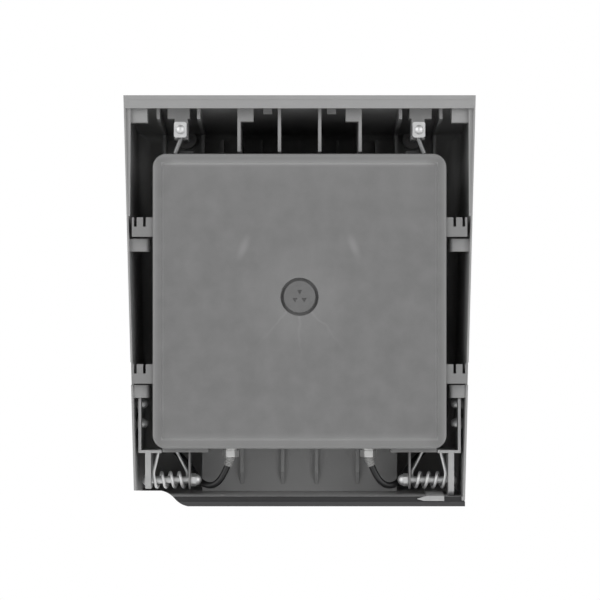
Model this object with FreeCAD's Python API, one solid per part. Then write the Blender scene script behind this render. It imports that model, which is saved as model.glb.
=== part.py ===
import FreeCAD, Part
import math
import os

# Cutoff wall pack, seen in its own frame: the wall is the plane Y = 0, +Y points away
# from the wall, +Z is up and the origin is the middle of the cable entry in the back
# cover. All sizes are in millimetres. Pieces of the left side are modelled at negative X
# and mirrored for the right side.

# Back box
BOX_HALF_WIDTH = 103.4
BOX_TOP = 100.7
BOX_BOTTOM = -107.0
BOX_CORNER = 9.5
BOX_DEPTH = 43.0
BOX_WALL = 2.5
RIM_DEPTH = 6.0
RIM_STEP = 2.2
RIM_ROUND = 2.0
RIM_GROOVE_INSET = 6.2
RIM_GROOVE_WIDTH = 1.4
RIM_GROOVE_DEPTH = 0.5
LID_THICK = 2.5
LID_GASKET_THICK = 0.8
LID_BOSS_RADIUS = 5.0
LID_BOSS_INSET = 9.0
LID_SCREW_RADIUS = 2.0
LID_HEAD_RADIUS = 3.6
LID_HEAD_HEIGHT = 2.0
LID_SCREW_LENGTH = 14.0

# Side ears of the box and the bosses under them on the housing
EAR_LENGTH = 14.8
EAR_END = BOX_HALF_WIDTH + EAR_LENGTH
EAR_Y = (3.0, 11.0)
EAR_HEIGHT = 13.6
EAR_TOPS = (56.0, -47.6)
EAR_SLOT_WIDTH = 2.0
EAR_SLOT_DEPTH = 6.5
EAR_SLOT_INSETS = (2.4, 8.8)
EAR_GAP = 1.3
BOSS_HEIGHT = 9.0
BOSS_Y = (9.2, 20.0)
BOSS_BOX_CLEARANCE = 3.0
BOSS_INNER_X = BOX_HALF_WIDTH + BOSS_BOX_CLEARANCE
BOSS_ROUND = 2.5

# Entry plug and its ring gasket
PLUG_RADIUS = 11.1
PLUG_RING_RADIUS = 13.45
PLUG_SHANK_RADIUS = 9.6
PLUG_HEAD_DEPTH = 2.6
PLUG_FACE_DROP = 0.4
PLUG_LENGTH = 11.0
PLUG_SEAT_DEPTH = 3.8
PLUG_BOSS_RADIUS = 17.0
PLUG_BOSS_DEPTH = 8.0
PLUG_MARK_RADIUS = 3.7
PLUG_MARK_SIZE = 2.0
PLUG_MARK_DEPTH = 1.0
FIT_CLEARANCE = 0.05

# Housing shell: front-view trapezium, wall and side profile
SHELL_TOP = 142.0
SHELL_BOTTOM = -144.3
SHELL_GAP_TOP = 20.7
SHELL_GAP_BOTTOM = 13.8
SHELL_HALF_TOP = BOX_HALF_WIDTH + SHELL_GAP_TOP
SHELL_HALF_BOTTOM = BOX_HALF_WIDTH + SHELL_GAP_BOTTOM
SHELL_REAR_TOP = 2.0
SHELL_REAR_BOTTOM = 10.0
SHELL_FRONT = 104.0
SHELL_FRONT_TOP = 124.0
SHELL_WALL = 2.4
SHELL_EDGE_WALL = 1.0
SHELL_FLARE_DEPTH = 26.0
SHELL_FRONT_WALL = 3.5
SHELL_TOP_WALL = 3.0
SHELL_SIDE_ROUND = 12.0
SHELL_TOP_ROUND = 10.0
FLOOR_TOP = -141.5
TOP_FLANGE_BOTTOM = 132.9
TOP_FLANGE_Y = (2.3, 5.5)
SIDE_FLANGE_WIDTH = 4.6
SIDE_FLANGE_END = 57.0
SIDE_FLANGE_Y = (4.5, 7.0)

# Ribs inside the shell
RIB_PITCH = 28.7
RIB_THICK = 2.2
RIB_REAR = 14.0
RIB_FRONT_DEPTH = 20.0
RIB_LOW_EDGE = 126.4
RIB_LOW_DROP = 6.0
RIB_BOX_CLEARANCE = 2.5
RIB_KNEE_DEPTH = 44.0
RIB_KNEE_DROP = 30.0
FIN_THICK = 2.0
FIN_DEPTH = 14.0
FIN_TOP = 117.0

# Pads under the top wall: inner and outer X, low edge, rear and front Y
PAD_TOP = 138.4
CORNER_PAD_INSETS = (16.4, 4.2)
CORNER_PAD = (SHELL_HALF_TOP - CORNER_PAD_INSETS[0], SHELL_HALF_TOP - CORNER_PAD_INSETS[1],
              123.2, 7.0, 17.0)
RIB_PAD = (32.8, 42.4, 124.6, 14.0, 24.0)
SMALL_PAD = (19.6, 26.0, 130.6, 22.0, 30.0)

# Light chamber in the lower front of the shell
CHAMBER_HALF_WIDTH = 71.0
CHAMBER_LID_CLEARANCE = 5.7
CHAMBER_REAR = BOX_DEPTH + LID_GASKET_THICK + LID_THICK + CHAMBER_LID_CLEARANCE
CHAMBER_TOP = -102.0
CHAMBER_WALL = 2.5
CHAMBER_RIB_X = (12.3, 42.0)
CHAMBER_RIB_DEPTH = 3.6
CHAMBER_RIB_THICK = 2.4
CHAMBER_RIB_END = -136.5
CHAMBER_RIB_POINT = 9.0
APERTURE_HALF_WIDTH = 64.0
APERTURE_MARGINS = (6.0, 8.0)
APERTURE_Y = (CHAMBER_REAR + APERTURE_MARGINS[0], SHELL_FRONT - APERTURE_MARGINS[1])

# Lens, gasket and frame under the floor
GASKET_THICK = 0.8
GASKET_UPSTAND = 3.0
GASKET_INSET = 0.4
FRAME_THICK = 3.3
LENS_THICK = 1.9
LENS_LEDGE = 3.0
FRAME_SCREW_X = (55.0, 76.5)
FRAME_SCREW_MARGINS = (11.0, 4.0, 12.0)
FRAME_SCREWS = ((FRAME_SCREW_X[0], SHELL_REAR_BOTTOM + FRAME_SCREW_MARGINS[0]),
                (FRAME_SCREW_X[1], CHAMBER_REAR + FRAME_SCREW_MARGINS[1]),
                (FRAME_SCREW_X[1], SHELL_FRONT - FRAME_SCREW_MARGINS[2]))
FRAME_SCREW_RADIUS = 1.9
FRAME_HEAD_RADIUS = 3.4
FRAME_HEAD_HEIGHT = 2.2

# LED board and what sits round it
PAD_THICK = 0.5
BOARD_THICK = 1.6
BOARD_HALF_WIDTH = 66.0
BOARD_MARGIN_Y = 6.0
CHIP_SIZE = 3.0
CHIP_HEIGHT = 0.8
CHIP_COUNT = 10
CHIP_PITCH = 11.0
CHIP_ROW_PITCH = 12.0
CHIP_EDGE_CLEARANCE = 2.0
BOARD_SCREW_RADIUS = 1.5
BOARD_HEAD_RADIUS = 2.7
BOARD_HEAD_HEIGHT = 1.6
BOARD_SCREW_X = (16.5, 49.5)
CONNECTOR_LENGTH = 5.5
CONNECTOR_WIDTH = 7.0
CONNECTOR_HEIGHT = 7.0
REFLECTOR_WALL = 0.8
REFLECTOR_TOP_HALF = 57.0
REFLECTOR_TOP_MARGIN = 8.0
REFLECTOR_GAP = 0.3
CHIP_MARGIN = REFLECTOR_TOP_MARGIN + REFLECTOR_WALL + CHIP_EDGE_CLEARANCE
CHIP_ROOM = APERTURE_Y[1] - APERTURE_Y[0] - 2 * CHIP_MARGIN - CHIP_SIZE
CHIP_ROWS = 1 + int(CHIP_ROOM / CHIP_ROW_PITCH)

# Hinge line and the pieces on it
HINGE_Y = 25.0
HINGE_Z = -130.9
BOLT_RADIUS = 2.5
BOLT_HEAD_RADIUS = 4.2
BOLT_HEAD_HEIGHT = 3.2
STEEL = 2.0
BRACKET_WALL_GAP = 2.8
BRACKET_OUTER_X = SHELL_HALF_BOTTOM - BRACKET_WALL_GAP
BRACKET_TOP = -72.0
BRACKET_DEPTH = 25.0
BRACKET_FLANGE_TOP = -108.8
BRACKET_FLANGE_WIDTH = 16.4
BRACKET_FLANGE_END = BRACKET_OUTER_X - BRACKET_FLANGE_WIDTH
PLATE_SETBACK = 4.8
PLATE_OUTER_X = BRACKET_OUTER_X - PLATE_SETBACK
PLATE_THICK = 4.0
PLATE_END_RIGHT = -141.1
PLATE_END_LEFT = -136.6
PLATE_ROUND = 5.0
BRACKET_SCREW_Z = (-76.2, -90.3)
BRACKET_SCREW_RADIUS = 2.0
BRACKET_HEAD_RADIUS = 3.7
BRACKET_HEAD_HEIGHT = 4.4
BRACKET_BOSS_RADIUS = 4.5
WASHER_THICK = 0.8
WASHER_RADIUS = 4.6
SIDE_PLAY = 0.2
NUT_HEIGHT = 2.8
NUT_HALF_FLATS = 4.0

# Torsion springs, from the bracket's plate to the hanger's lug
WIRE = 2.2
COIL_RADIUS = 5.15
COIL_PITCH = 6.3
COIL_TURNS = 3.5
COIL_CLEARANCE = 1.1
COIL_OUTER_X = PLATE_OUTER_X - PLATE_THICK - COIL_CLEARANCE - WIRE / 2
COIL_END_X = COIL_OUTER_X - COIL_TURNS * COIL_PITCH
LEG_TANGENT_RUN = 5.0
OUTER_LEG_INSET = 2.4
OUTER_LEG_X = BRACKET_FLANGE_END + OUTER_LEG_INSET
LEG_HOLE_CLEARANCE = 0.3

# Hangers under the box
LUG_OUTER_X = COIL_END_X - WIRE / 2 - COIL_CLEARANCE
LUG_THICK = 1.2
LUG_RADIUS = 6.5
INNER_LEG_SETBACK = 10.3
INNER_LEG_X = LUG_OUTER_X + INNER_LEG_SETBACK
HANGER_REACH = (14.6, 17.8)
HANGER_X = (LUG_OUTER_X - HANGER_REACH[0], LUG_OUTER_X + HANGER_REACH[1])
HANGER_Y = (8.0, 40.0)
HANGER_THICK = 2.8
HANGER_PAD_DROP = 0.2
HANGER_SCREW_REACH = (10.6, 14.4)
HANGER_SCREW_X = (LUG_OUTER_X - HANGER_SCREW_REACH[0], LUG_OUTER_X + HANGER_SCREW_REACH[1])
HANGER_SCREW_Y = 34.0
HANGER_SCREW_RADIUS = 2.0
HANGER_HEAD_RADIUS = 3.2
HANGER_HEAD_HEIGHT = 2.0

# Latches at the top
LATCH_X = 84.4
LATCH_Z = 118.2
LATCH_LEAN_DEG = 21.0
HUB_SIZE = (8.9, 11.0)
HUB_ROUND = 1.5
HUB_Y = (8.0, 17.7)
ROD_RADIUS = 1.5
ROD_OFFSET = 2.3
ROD_ROOT = 3.4
ROD_TIP = 16.8
POST_Y = (18.0, 34.0)
POST_UPPER_REACH = (6.1, 9.6)
POST_UPPER_BOTTOM = 126.9
POST_LOWER_HALF = 4.6
POST_LOWER_DROP = 6.0
SHAFT_RADIUS = 2.5
SHAFT_HEAD_RADIUS = 4.2
SHAFT_HEAD_HEIGHT = 2.6
SHAFT_SEAT_WALL = 3.0
SHAFT_SEAT_RADIUS = 7.0
SHAFT_HEAD_CLEARANCE = 0.5
SHAFT_HEAD_SINK = 4.0
SHAFT_SLOT_WIDTH = 1.6
SHAFT_SLOT_DEPTH = 1.2
LATCH_SCREW_RADIUS = 1.25
LATCH_SCREW_HEAD = 3.4
LATCH_SCREW_HEIGHT = 2.0
KEEPER_GAP = 1.6
KEEPER_REACH = 0.6
KEEPER_WIDTH = 9.5
KEEPER_X = (LATCH_X + KEEPER_REACH - KEEPER_WIDTH, LATCH_X + KEEPER_REACH)
KEEPER_TOP = 103.6
KEEPER_THICK = 2.2
KEEPER_FOOT = 15.0
KEEPER_SCREW_RADIUS = 1.6
KEEPER_HEAD_RADIUS = 3.0
KEEPER_HEAD_HEIGHT = 1.8

# Glands, sleeves and leads
GLAND_X = 49.2
GLAND_Y = 22.0
GLAND_BODY_RADIUS = 4.5
GLAND_HEX_HALF_FLATS = 5.15
GLAND_HEX = (-109.4, -114.2)
GLAND_THREAD_RADIUS = 4.0
GLAND_THREAD_LENGTH = 8.0
GLAND_NUT_HEIGHT = 3.0
GLAND_NUT_HALF_FLATS = 5.5
LEAD_RADIUS = 2.3
SLEEVE_LENGTH = 6.8
SLEEVE_RADII = (3.6, 2.9)
SLEEVE_CLEARANCE = 0.1
GROMMET_OFFSET = 1.0
GROMMET_Y = sum(APERTURE_Y) / 2 + GROMMET_OFFSET
GROMMET_Z = -110.5
GROMMET_RADIUS = 4.6
GROMMET_WAIST = 3.6
GROMMET_LIP = 1.2
LEAD_ROUTE = (
    (-GLAND_X, GLAND_Y, GLAND_HEX[1]),
    (-53.4, 22.6, -126.6),
    (-61.0, 25.0, -135.6),
    (-70.2, 31.0, -134.6),
    (-77.2, 39.0, -125.2),
    (-86.6, 47.6, -115.4),
    (-92.4, GROMMET_Y - 18.0, -112.4),
    (-88.4, GROMMET_Y - 3.6, GROMMET_Z),
    (-76.4, GROMMET_Y, GROMMET_Z),
    (-BOARD_HALF_WIDTH, GROMMET_Y, GROMMET_Z),
)
ROUTE_ARC_SHARE = 0.45

# Gear in the box
DRIVER_SIZE = (132.0, 30.0, 52.0)
DRIVER_Z = 28.0
DRIVER_TAB = 9.0
DRIVER_TAB_THICK = 2.0
DRIVER_SCREW_RADIUS = 1.6
DRIVER_HEAD_RADIUS = 3.0
DRIVER_HEAD_HEIGHT = 1.8
TERMINAL_SIZE = (46.0, 18.0, 22.0)
TERMINAL_AT = (-58.0, -62.0)
TERMINAL_WAYS = 5
TERMINAL_HOLE = 2.2
SURGE_SIZE = (48.0, 20.0, 30.0)
SURGE_AT = (38.0, -66.0)
GROUND_AT = (-4.0, -72.0)
GROUND_SCREW_RADIUS = 2.0
GROUND_HEAD_RADIUS = 4.4
GROUND_HEAD_HEIGHT = 3.0
GROUND_BOSS_RADIUS = 5.5
GROUND_BOSS_DEPTH = 8.0

# Missing lower left rear corner, sized at the rear edge and widening away from the eye point
RELIEF_TOP = -137.2
RELIEF_FLAT_END = 98.0
RELIEF_RUNOUT = 79.0
RELIEF_LOW = -152.0
RELIEF_BEND = (0.42, 0.62)
EYE_DISTANCE = 1410.0

# Bright plate on the floor at the right, folded down over the gasket's rear edge
BLANK_INSETS = (33.8, 14.8)
BLANK_X = (SHELL_HALF_BOTTOM - BLANK_INSETS[0], SHELL_HALF_BOTTOM - BLANK_INSETS[1])
BLANK_FRONT = 46.0
BLANK_HEIGHTS = (0.6, 3.4)
BLANK_LIP_THICK = 1.0
BLANK_LIP_DROP = 3.0
BLANK_SLANT = (6.9, 4.6)
BLANK_SLANT_HEIGHTS = (1.4, 1.7)

V = FreeCAD.Vector
LEFT = -1
RIGHT = 1


def block(x_pair, y_pair, z_pair):
    """Box between two limits on each axis, given in either order."""
    low = V(min(x_pair), min(y_pair), min(z_pair))
    high = V(max(x_pair), max(y_pair), max(z_pair))
    return Part.makeBox(high.x - low.x, high.y - low.y, high.z - low.z, low)


def rod(radius, start, end):
    """Round bar between two points."""
    return Part.makeCylinder(radius, (end - start).Length, start, end - start)


def cone(radius_start, radius_end, start, end):
    """Tapered round bar between two points."""
    return Part.makeCone(radius_start, radius_end, (end - start).Length, start, end - start)


def face_of(points):
    """Flat face with straight edges through the points."""
    return Part.Face(Part.makePolygon(points + [points[0]]))


def prism_y(outline, y_pair):
    """Outline of (x, z) points carried along Y."""
    points = [V(x, y_pair[0], z) for x, z in outline]
    return face_of(points).extrude(V(0, y_pair[1] - y_pair[0], 0))


def prism_x(outline, x_pair):
    """Outline of (y, z) points carried along X."""
    points = [V(x_pair[0], y, z) for y, z in outline]
    return face_of(points).extrude(V(x_pair[1] - x_pair[0], 0, 0))


def hex_bar(half_flats, start, end):
    """Hexagonal bar between two points on one axis line."""
    axis = (end - start).normalize()
    side = V(0, 0, 1) if abs(axis.z) < 0.5 else V(1, 0, 0)
    other = axis.cross(side)
    corner = half_flats / math.cos(math.pi / 6)
    points = []
    for index in range(6):
        angle = index * math.pi / 3
        points.append(start + side * (corner * math.cos(angle)) + other * (corner * math.sin(angle)))
    return face_of(points).extrude(end - start)


def edges_on(shape, test):
    """Edges whose both ends and middle pass the test."""
    kept = []
    for edge in shape.Edges:
        ends = [vertex.Point for vertex in edge.Vertexes]
        middle = edge.valueAt((edge.FirstParameter + edge.LastParameter) / 2)
        if all(test(point) for point in ends + [middle]):
            kept.append(edge)
    return kept


def rounded_slab(half_width, z_pair, radius, y_pair):
    """Square plate in X and Z with rounded corners, carried along Y."""
    slab = block((-half_width, half_width), y_pair, z_pair)
    corners = [edge for edge in slab.Edges if abs(edge.Vertexes[0].X - edge.Vertexes[1].X) < 1e-6
               and abs(edge.Vertexes[0].Z - edge.Vertexes[1].Z) < 1e-6]
    return slab.makeFillet(radius, corners)


def box_slab(inset, y_pair):
    """Outline of the box drawn in by an inset, carried along Y."""
    return rounded_slab(BOX_HALF_WIDTH - inset, (BOX_BOTTOM + inset, BOX_TOP - inset),
                        BOX_CORNER - min(inset, BOX_CORNER - 1.0), y_pair)


def mirrored(shape):
    """Right-hand copy of a left-hand shape."""
    return shape.mirror(V(0, 0, 0), V(1, 0, 0))


def handed(shape, side):
    """Shape of the left side, or its mirror for the right."""
    return shape if side == LEFT else mirrored(shape)


def both(shape):
    """Left shape and its mirror as two solids of one group."""
    return [shape, mirrored(shape)]


def dome_screw(head_radius, head_height, shank_radius, seat, direction, length):
    """Screw with a domed head standing on its seat and a shank the other way."""
    shank = rod(shank_radius, seat, seat - direction * length)
    ball_radius = (head_radius ** 2 + head_height ** 2) / (2 * head_height)
    ball = Part.makeSphere(ball_radius, seat + direction * (head_height - ball_radius))
    head = ball.common(rod(head_radius, seat, seat + direction * head_height))
    return head.fuse(shank).removeSplitter()


def flat_screw(head_radius, head_height, shank_radius, seat, direction, length):
    """Screw with a flat cylindrical head standing on its seat and a shank the other way."""
    head = rod(head_radius, seat, seat + direction * head_height)
    return head.fuse(rod(shank_radius, seat, seat - direction * length)).removeSplitter()


def half_width_at(z):
    """Outer half width of the tapered shell at a height."""
    share = (z - SHELL_BOTTOM) / (SHELL_TOP - SHELL_BOTTOM)
    return SHELL_HALF_BOTTOM + share * (SHELL_HALF_TOP - SHELL_HALF_BOTTOM)


def inner_half_width_at(z):
    """Inner half width of the tapered shell at a height."""
    return half_width_at(z) - SHELL_WALL


def rounded_route(points):
    """Edges of a path whose corners are tangent arcs, with the radii of those arcs."""
    edges = []
    radii = []
    start = points[0]
    for index in range(1, len(points) - 1):
        before, corner, after = points[index - 1], points[index], points[index + 1]
        back = (before - corner).normalize()
        ahead = (after - corner).normalize()
        trim = ROUTE_ARC_SHARE * min((before - corner).Length, (after - corner).Length)
        turn = math.pi - back.getAngle(ahead)
        radius = trim / math.tan(turn / 2)
        centre = corner + (back + ahead).normalize() * (radius / math.cos(turn / 2))
        middle = centre + (corner - centre).normalize() * radius
        arc_start = corner + back * trim
        arc_end = corner + ahead * trim
        edges.append(Part.LineSegment(start, arc_start).toShape())
        edges.append(Part.Arc(arc_start, middle, arc_end).toShape())
        radii.append(radius)
        start = arc_end
    edges.append(Part.LineSegment(start, points[-1]).toShape())
    return edges, radii


def tube(edges, radius):
    """Round solid swept along a tangent path."""
    first = edges[0]
    heading = first.tangentAt(first.FirstParameter)
    profile = Part.Wire(Part.makeCircle(radius, first.valueAt(first.FirstParameter), heading))
    return Part.Wire(edges).makePipeShell([profile], True, False)


def biarc(start, start_direction, end, end_direction):
    """Two arcs that join two points with the given tangents, with equal tangent lengths."""
    chord = end - start
    both_ways = start_direction + end_direction
    a = 2 * (1 - start_direction.dot(end_direction))
    b = 2 * chord.dot(both_ways)
    c = -chord.dot(chord)
    reach = (-b + math.sqrt(b * b - 4 * a * c)) / (2 * a)
    first_corner = start + start_direction * reach
    second_corner = end - end_direction * reach
    joint = (first_corner + second_corner) * 0.5
    return [corner_arc(start, first_corner, joint), corner_arc(joint, second_corner, end)]


def corner_arc(start, corner, end):
    """Arc tangent to both sides of a corner, from start to end."""
    back = (start - corner).normalize()
    ahead = (end - corner).normalize()
    half_turn = (math.pi - back.getAngle(ahead)) / 2
    radius = (start - corner).Length / math.tan(half_turn)
    centre = corner + (back + ahead).normalize() * (radius / math.cos(half_turn))
    middle = centre + (corner - centre).normalize() * radius
    return Part.Arc(start, middle, end).toShape()


# Back box

def ear(z_top):
    """Left ear on the side of the box, with two narrow slots in its top edge."""
    x_pair = (-EAR_END, -(BOX_HALF_WIDTH - RIM_STEP) + FIT_CLEARANCE)
    solid = block(x_pair, EAR_Y, (z_top - EAR_HEIGHT, z_top))
    for inset in EAR_SLOT_INSETS:
        left = -EAR_END + inset - EAR_SLOT_WIDTH / 2
        slot = block((left, left + EAR_SLOT_WIDTH), (EAR_Y[0] - 1, EAR_Y[1] + 1),
                     (z_top - EAR_SLOT_DEPTH, z_top + 1))
        solid = solid.cut(slot)
    return solid


def lid_screw_points():
    """Corners of the box where the lid is screwed down, as (x, z)."""
    reach = BOX_HALF_WIDTH - RIM_STEP - BOX_WALL - LID_BOSS_INSET + LID_BOSS_RADIUS
    low = BOX_BOTTOM + RIM_STEP + BOX_WALL + LID_BOSS_INSET - LID_BOSS_RADIUS
    high = BOX_TOP - RIM_STEP - BOX_WALL - LID_BOSS_INSET + LID_BOSS_RADIUS
    return [(x, z) for x in (-reach, reach) for z in (low, high)]


def hanger_pad():
    """Seat for the left hanger under the box, level with the rim."""
    top = BOX_BOTTOM + RIM_STEP
    return block((-HANGER_X[1], -HANGER_X[0]), (RIM_DEPTH, HANGER_Y[1]), (hanger_top(), top))


def hanger_top():
    """Height of the face where the hangers meet the box."""
    return BOX_BOTTOM - HANGER_PAD_DROP


def hanger_screw_points():
    """Left hanger screws, as (x, y)."""
    return [(-x, HANGER_SCREW_Y) for x in HANGER_SCREW_X]


def back_cover():
    """Moulded tray of the box, with its rim, ears, entry seat and screw bosses."""
    rim = box_slab(0, (0, RIM_DEPTH))
    rim = rim.makeFillet(RIM_ROUND, edges_on(rim, lambda p: abs(p.y) < 1e-6))
    body = rim.fuse(box_slab(RIM_STEP, (RIM_DEPTH / 2, BOX_DEPTH)))
    body = body.cut(box_slab(RIM_STEP + BOX_WALL, (BOX_WALL, BOX_DEPTH + 1)))
    groove = box_slab(RIM_GROOVE_INSET, (0, RIM_GROOVE_DEPTH)).cut(
        box_slab(RIM_GROOVE_INSET + RIM_GROOVE_WIDTH, (0, RIM_GROOVE_DEPTH)))
    body = body.cut(groove)
    for z_top in EAR_TOPS:
        left = ear(z_top)
        body = body.fuse([left, mirrored(left)])
    body = body.fuse(both(hanger_pad()))
    for x, z in lid_screw_points():
        body = body.fuse(rod(LID_BOSS_RADIUS, V(x, BOX_WALL / 2, z), V(x, BOX_DEPTH, z)))
    body = body.fuse(rod(PLUG_BOSS_RADIUS, V(0, BOX_WALL / 2, 0), V(0, PLUG_BOSS_DEPTH, 0)))
    ground = ground_point()
    body = body.fuse(rod(GROUND_BOSS_RADIUS, V(ground.x, BOX_WALL / 2, ground.z), ground))
    for x in driver_screw_xs():
        body = body.fuse(driver_post(x))
    cuts = [rod(PLUG_RING_RADIUS, V(0, -1, 0), V(0, PLUG_SEAT_DEPTH, 0)),
            rod(PLUG_SHANK_RADIUS + FIT_CLEARANCE, V(0, -1, 0), V(0, PLUG_BOSS_DEPTH + 1, 0))]
    for x, z in lid_screw_points():
        cuts.append(rod(LID_SCREW_RADIUS, V(x, lid_front() - LID_SCREW_LENGTH, z), V(x, BOX_DEPTH + 1, z)))
    cuts.append(rod(GROUND_SCREW_RADIUS, V(ground.x, BOX_WALL, ground.z), ground + V(0, 1, 0)))
    for x in driver_screw_xs():
        foot = V(x, BOX_WALL, driver_mid_z())
        cuts.append(rod(DRIVER_SCREW_RADIUS, foot, foot + V(0, DRIVER_SIZE[1], 0)))
    wall_top = BOX_BOTTOM + RIM_STEP + BOX_WALL
    for x, y in hanger_screw_points():
        cuts += both(rod(HANGER_SCREW_RADIUS, V(x, y, hanger_top() - 1), V(x, y, wall_top + 1)))
    cuts += both(rod(GLAND_THREAD_RADIUS + FIT_CLEARANCE, V(-GLAND_X, GLAND_Y, hanger_top() - 1),
                     V(-GLAND_X, GLAND_Y, wall_top + 1)))
    screw = keeper_screw_point()
    cuts += both(rod(KEEPER_SCREW_RADIUS, screw + V(0, 0, 1), screw - V(0, 0, KEEPER_THICK + BOX_WALL + 1)))
    return body.cut(cuts).removeSplitter()


def entry_plug():
    """Threaded blanking plug with three triangular tool recesses in its face."""
    head = rod(PLUG_RADIUS, V(0, PLUG_FACE_DROP, 0), V(0, PLUG_FACE_DROP + PLUG_HEAD_DEPTH, 0))
    shank = rod(PLUG_SHANK_RADIUS, V(0, PLUG_FACE_DROP, 0), V(0, PLUG_LENGTH, 0))
    marks = []
    for turn in range(3):
        heading = math.radians(90 + 120 * turn)
        outline = []
        for corner in range(3):
            angle = heading + math.radians(180 + 120 * corner)
            outline.append((PLUG_MARK_RADIUS * math.cos(heading) + PLUG_MARK_SIZE * math.cos(angle),
                            PLUG_MARK_RADIUS * math.sin(heading) + PLUG_MARK_SIZE * math.sin(angle)))
        marks.append(prism_y(outline, (0, PLUG_FACE_DROP + PLUG_MARK_DEPTH)))
    return head.fuse(shank).cut(marks).removeSplitter()


def plug_gasket():
    """Ring washer at the bottom of the entry seat, under the plug's head."""
    rear = PLUG_FACE_DROP + PLUG_HEAD_DEPTH
    ring = rod(PLUG_RING_RADIUS - FIT_CLEARANCE, V(0, rear, 0), V(0, PLUG_SEAT_DEPTH, 0))
    return ring.cut(rod(PLUG_SHANK_RADIUS + FIT_CLEARANCE, V(0, rear - 1, 0), V(0, PLUG_SEAT_DEPTH + 1, 0)))


def lid_front():
    """Y of the lid's outer face."""
    return BOX_DEPTH + LID_GASKET_THICK + LID_THICK


def lid_holes():
    """Clearance holes for the lid screws."""
    return [rod(LID_SCREW_RADIUS + FIT_CLEARANCE, V(x, BOX_DEPTH - 1, z), V(x, lid_front() + 1, z))
            for x, z in lid_screw_points()]


def lid_gasket():
    """Flat ring between the tray and its lid."""
    y_pair = (BOX_DEPTH, BOX_DEPTH + LID_GASKET_THICK)
    ring = box_slab(RIM_STEP, y_pair).cut(box_slab(RIM_STEP + 2 * LID_BOSS_INSET, y_pair))
    return ring.cut(lid_holes())


def box_lid():
    """Flat lid that closes the front of the box."""
    return box_slab(RIM_STEP, (BOX_DEPTH + LID_GASKET_THICK, lid_front())).cut(lid_holes())


def lid_screws():
    """Screws at the corners of the lid."""
    return [flat_screw(LID_HEAD_RADIUS, LID_HEAD_HEIGHT, LID_SCREW_RADIUS, V(x, lid_front(), z),
                       V(0, 1, 0), LID_SCREW_LENGTH) for x, z in lid_screw_points()]


def driver_mid_z():
    """Height of the middle of the LED driver."""
    return DRIVER_Z + DRIVER_SIZE[2] / 2


def driver_screw_xs():
    """X of the two driver fixings."""
    reach = DRIVER_SIZE[0] / 2 + DRIVER_TAB / 2
    return (-reach, reach)


def driver_post(x):
    """Short post on the back wall under one end of the driver."""
    return rod(DRIVER_TAB / 2, V(x, BOX_WALL / 2, driver_mid_z()), V(x, PLUG_BOSS_DEPTH, driver_mid_z()))


def led_driver():
    """LED driver case with a fixing tab at each end."""
    half = DRIVER_SIZE[0] / 2
    case = block((-half, half), (BOX_WALL, BOX_WALL + DRIVER_SIZE[1]), (DRIVER_Z, DRIVER_Z + DRIVER_SIZE[2]))
    case = case.makeChamfer(2.0, edges_on(case, lambda p: abs(p.y - BOX_WALL - DRIVER_SIZE[1]) < 1e-6))
    tab_y = (PLUG_BOSS_DEPTH, PLUG_BOSS_DEPTH + DRIVER_TAB_THICK)
    for x in driver_screw_xs():
        tab = block((x - DRIVER_TAB / 2, x + DRIVER_TAB / 2), tab_y,
                    (driver_mid_z() - DRIVER_TAB, driver_mid_z() + DRIVER_TAB))
        foot = V(x, BOX_WALL, driver_mid_z())
        hole = rod(DRIVER_SCREW_RADIUS + FIT_CLEARANCE, foot, foot + V(0, DRIVER_SIZE[1], 0))
        case = case.fuse(tab).cut(hole)
    return case


def driver_screws():
    """Screws through the driver's tabs into their posts."""
    seat_y = PLUG_BOSS_DEPTH + DRIVER_TAB_THICK
    seats = [V(x, seat_y, driver_mid_z()) for x in driver_screw_xs()]
    return [dome_screw(DRIVER_HEAD_RADIUS, DRIVER_HEAD_HEIGHT, DRIVER_SCREW_RADIUS, seat, V(0, 1, 0),
                       seat_y - BOX_WALL) for seat in seats]


def terminal_block():
    """Supply terminal block with a row of wire entries."""
    x, z = TERMINAL_AT
    width, depth, height = TERMINAL_SIZE
    solid = block((x - width / 2, x + width / 2), (BOX_WALL, BOX_WALL + depth),
                  (z - height / 2, z + height / 2))
    for way in range(TERMINAL_WAYS):
        hole_x = x + (way - (TERMINAL_WAYS - 1) / 2) * width / TERMINAL_WAYS
        mid_y = BOX_WALL + depth / 2
        solid = solid.cut(rod(TERMINAL_HOLE, V(hole_x, mid_y, z - height), V(hole_x, mid_y, z + height)))
    return solid


def surge_protector():
    """Potted surge protector block."""
    x, z = SURGE_AT
    width, depth, height = SURGE_SIZE
    solid = block((x - width / 2, x + width / 2), (BOX_WALL, BOX_WALL + depth),
                  (z - height / 2, z + height / 2))
    return solid.makeFillet(2.0, edges_on(solid, lambda p: abs(p.y - BOX_WALL - depth) < 1e-6))


def ground_point():
    """Seat of the ground screw, on its boss."""
    return V(GROUND_AT[0], GROUND_BOSS_DEPTH, GROUND_AT[1])


def ground_screw():
    """Hexagon head ground screw."""
    seat = ground_point()
    head = hex_bar(GROUND_HEAD_RADIUS, seat, seat + V(0, GROUND_HEAD_HEIGHT, 0))
    return head.fuse(rod(GROUND_SCREW_RADIUS, seat, V(seat.x, BOX_WALL, seat.z))).removeSplitter()


# Hinge

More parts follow.
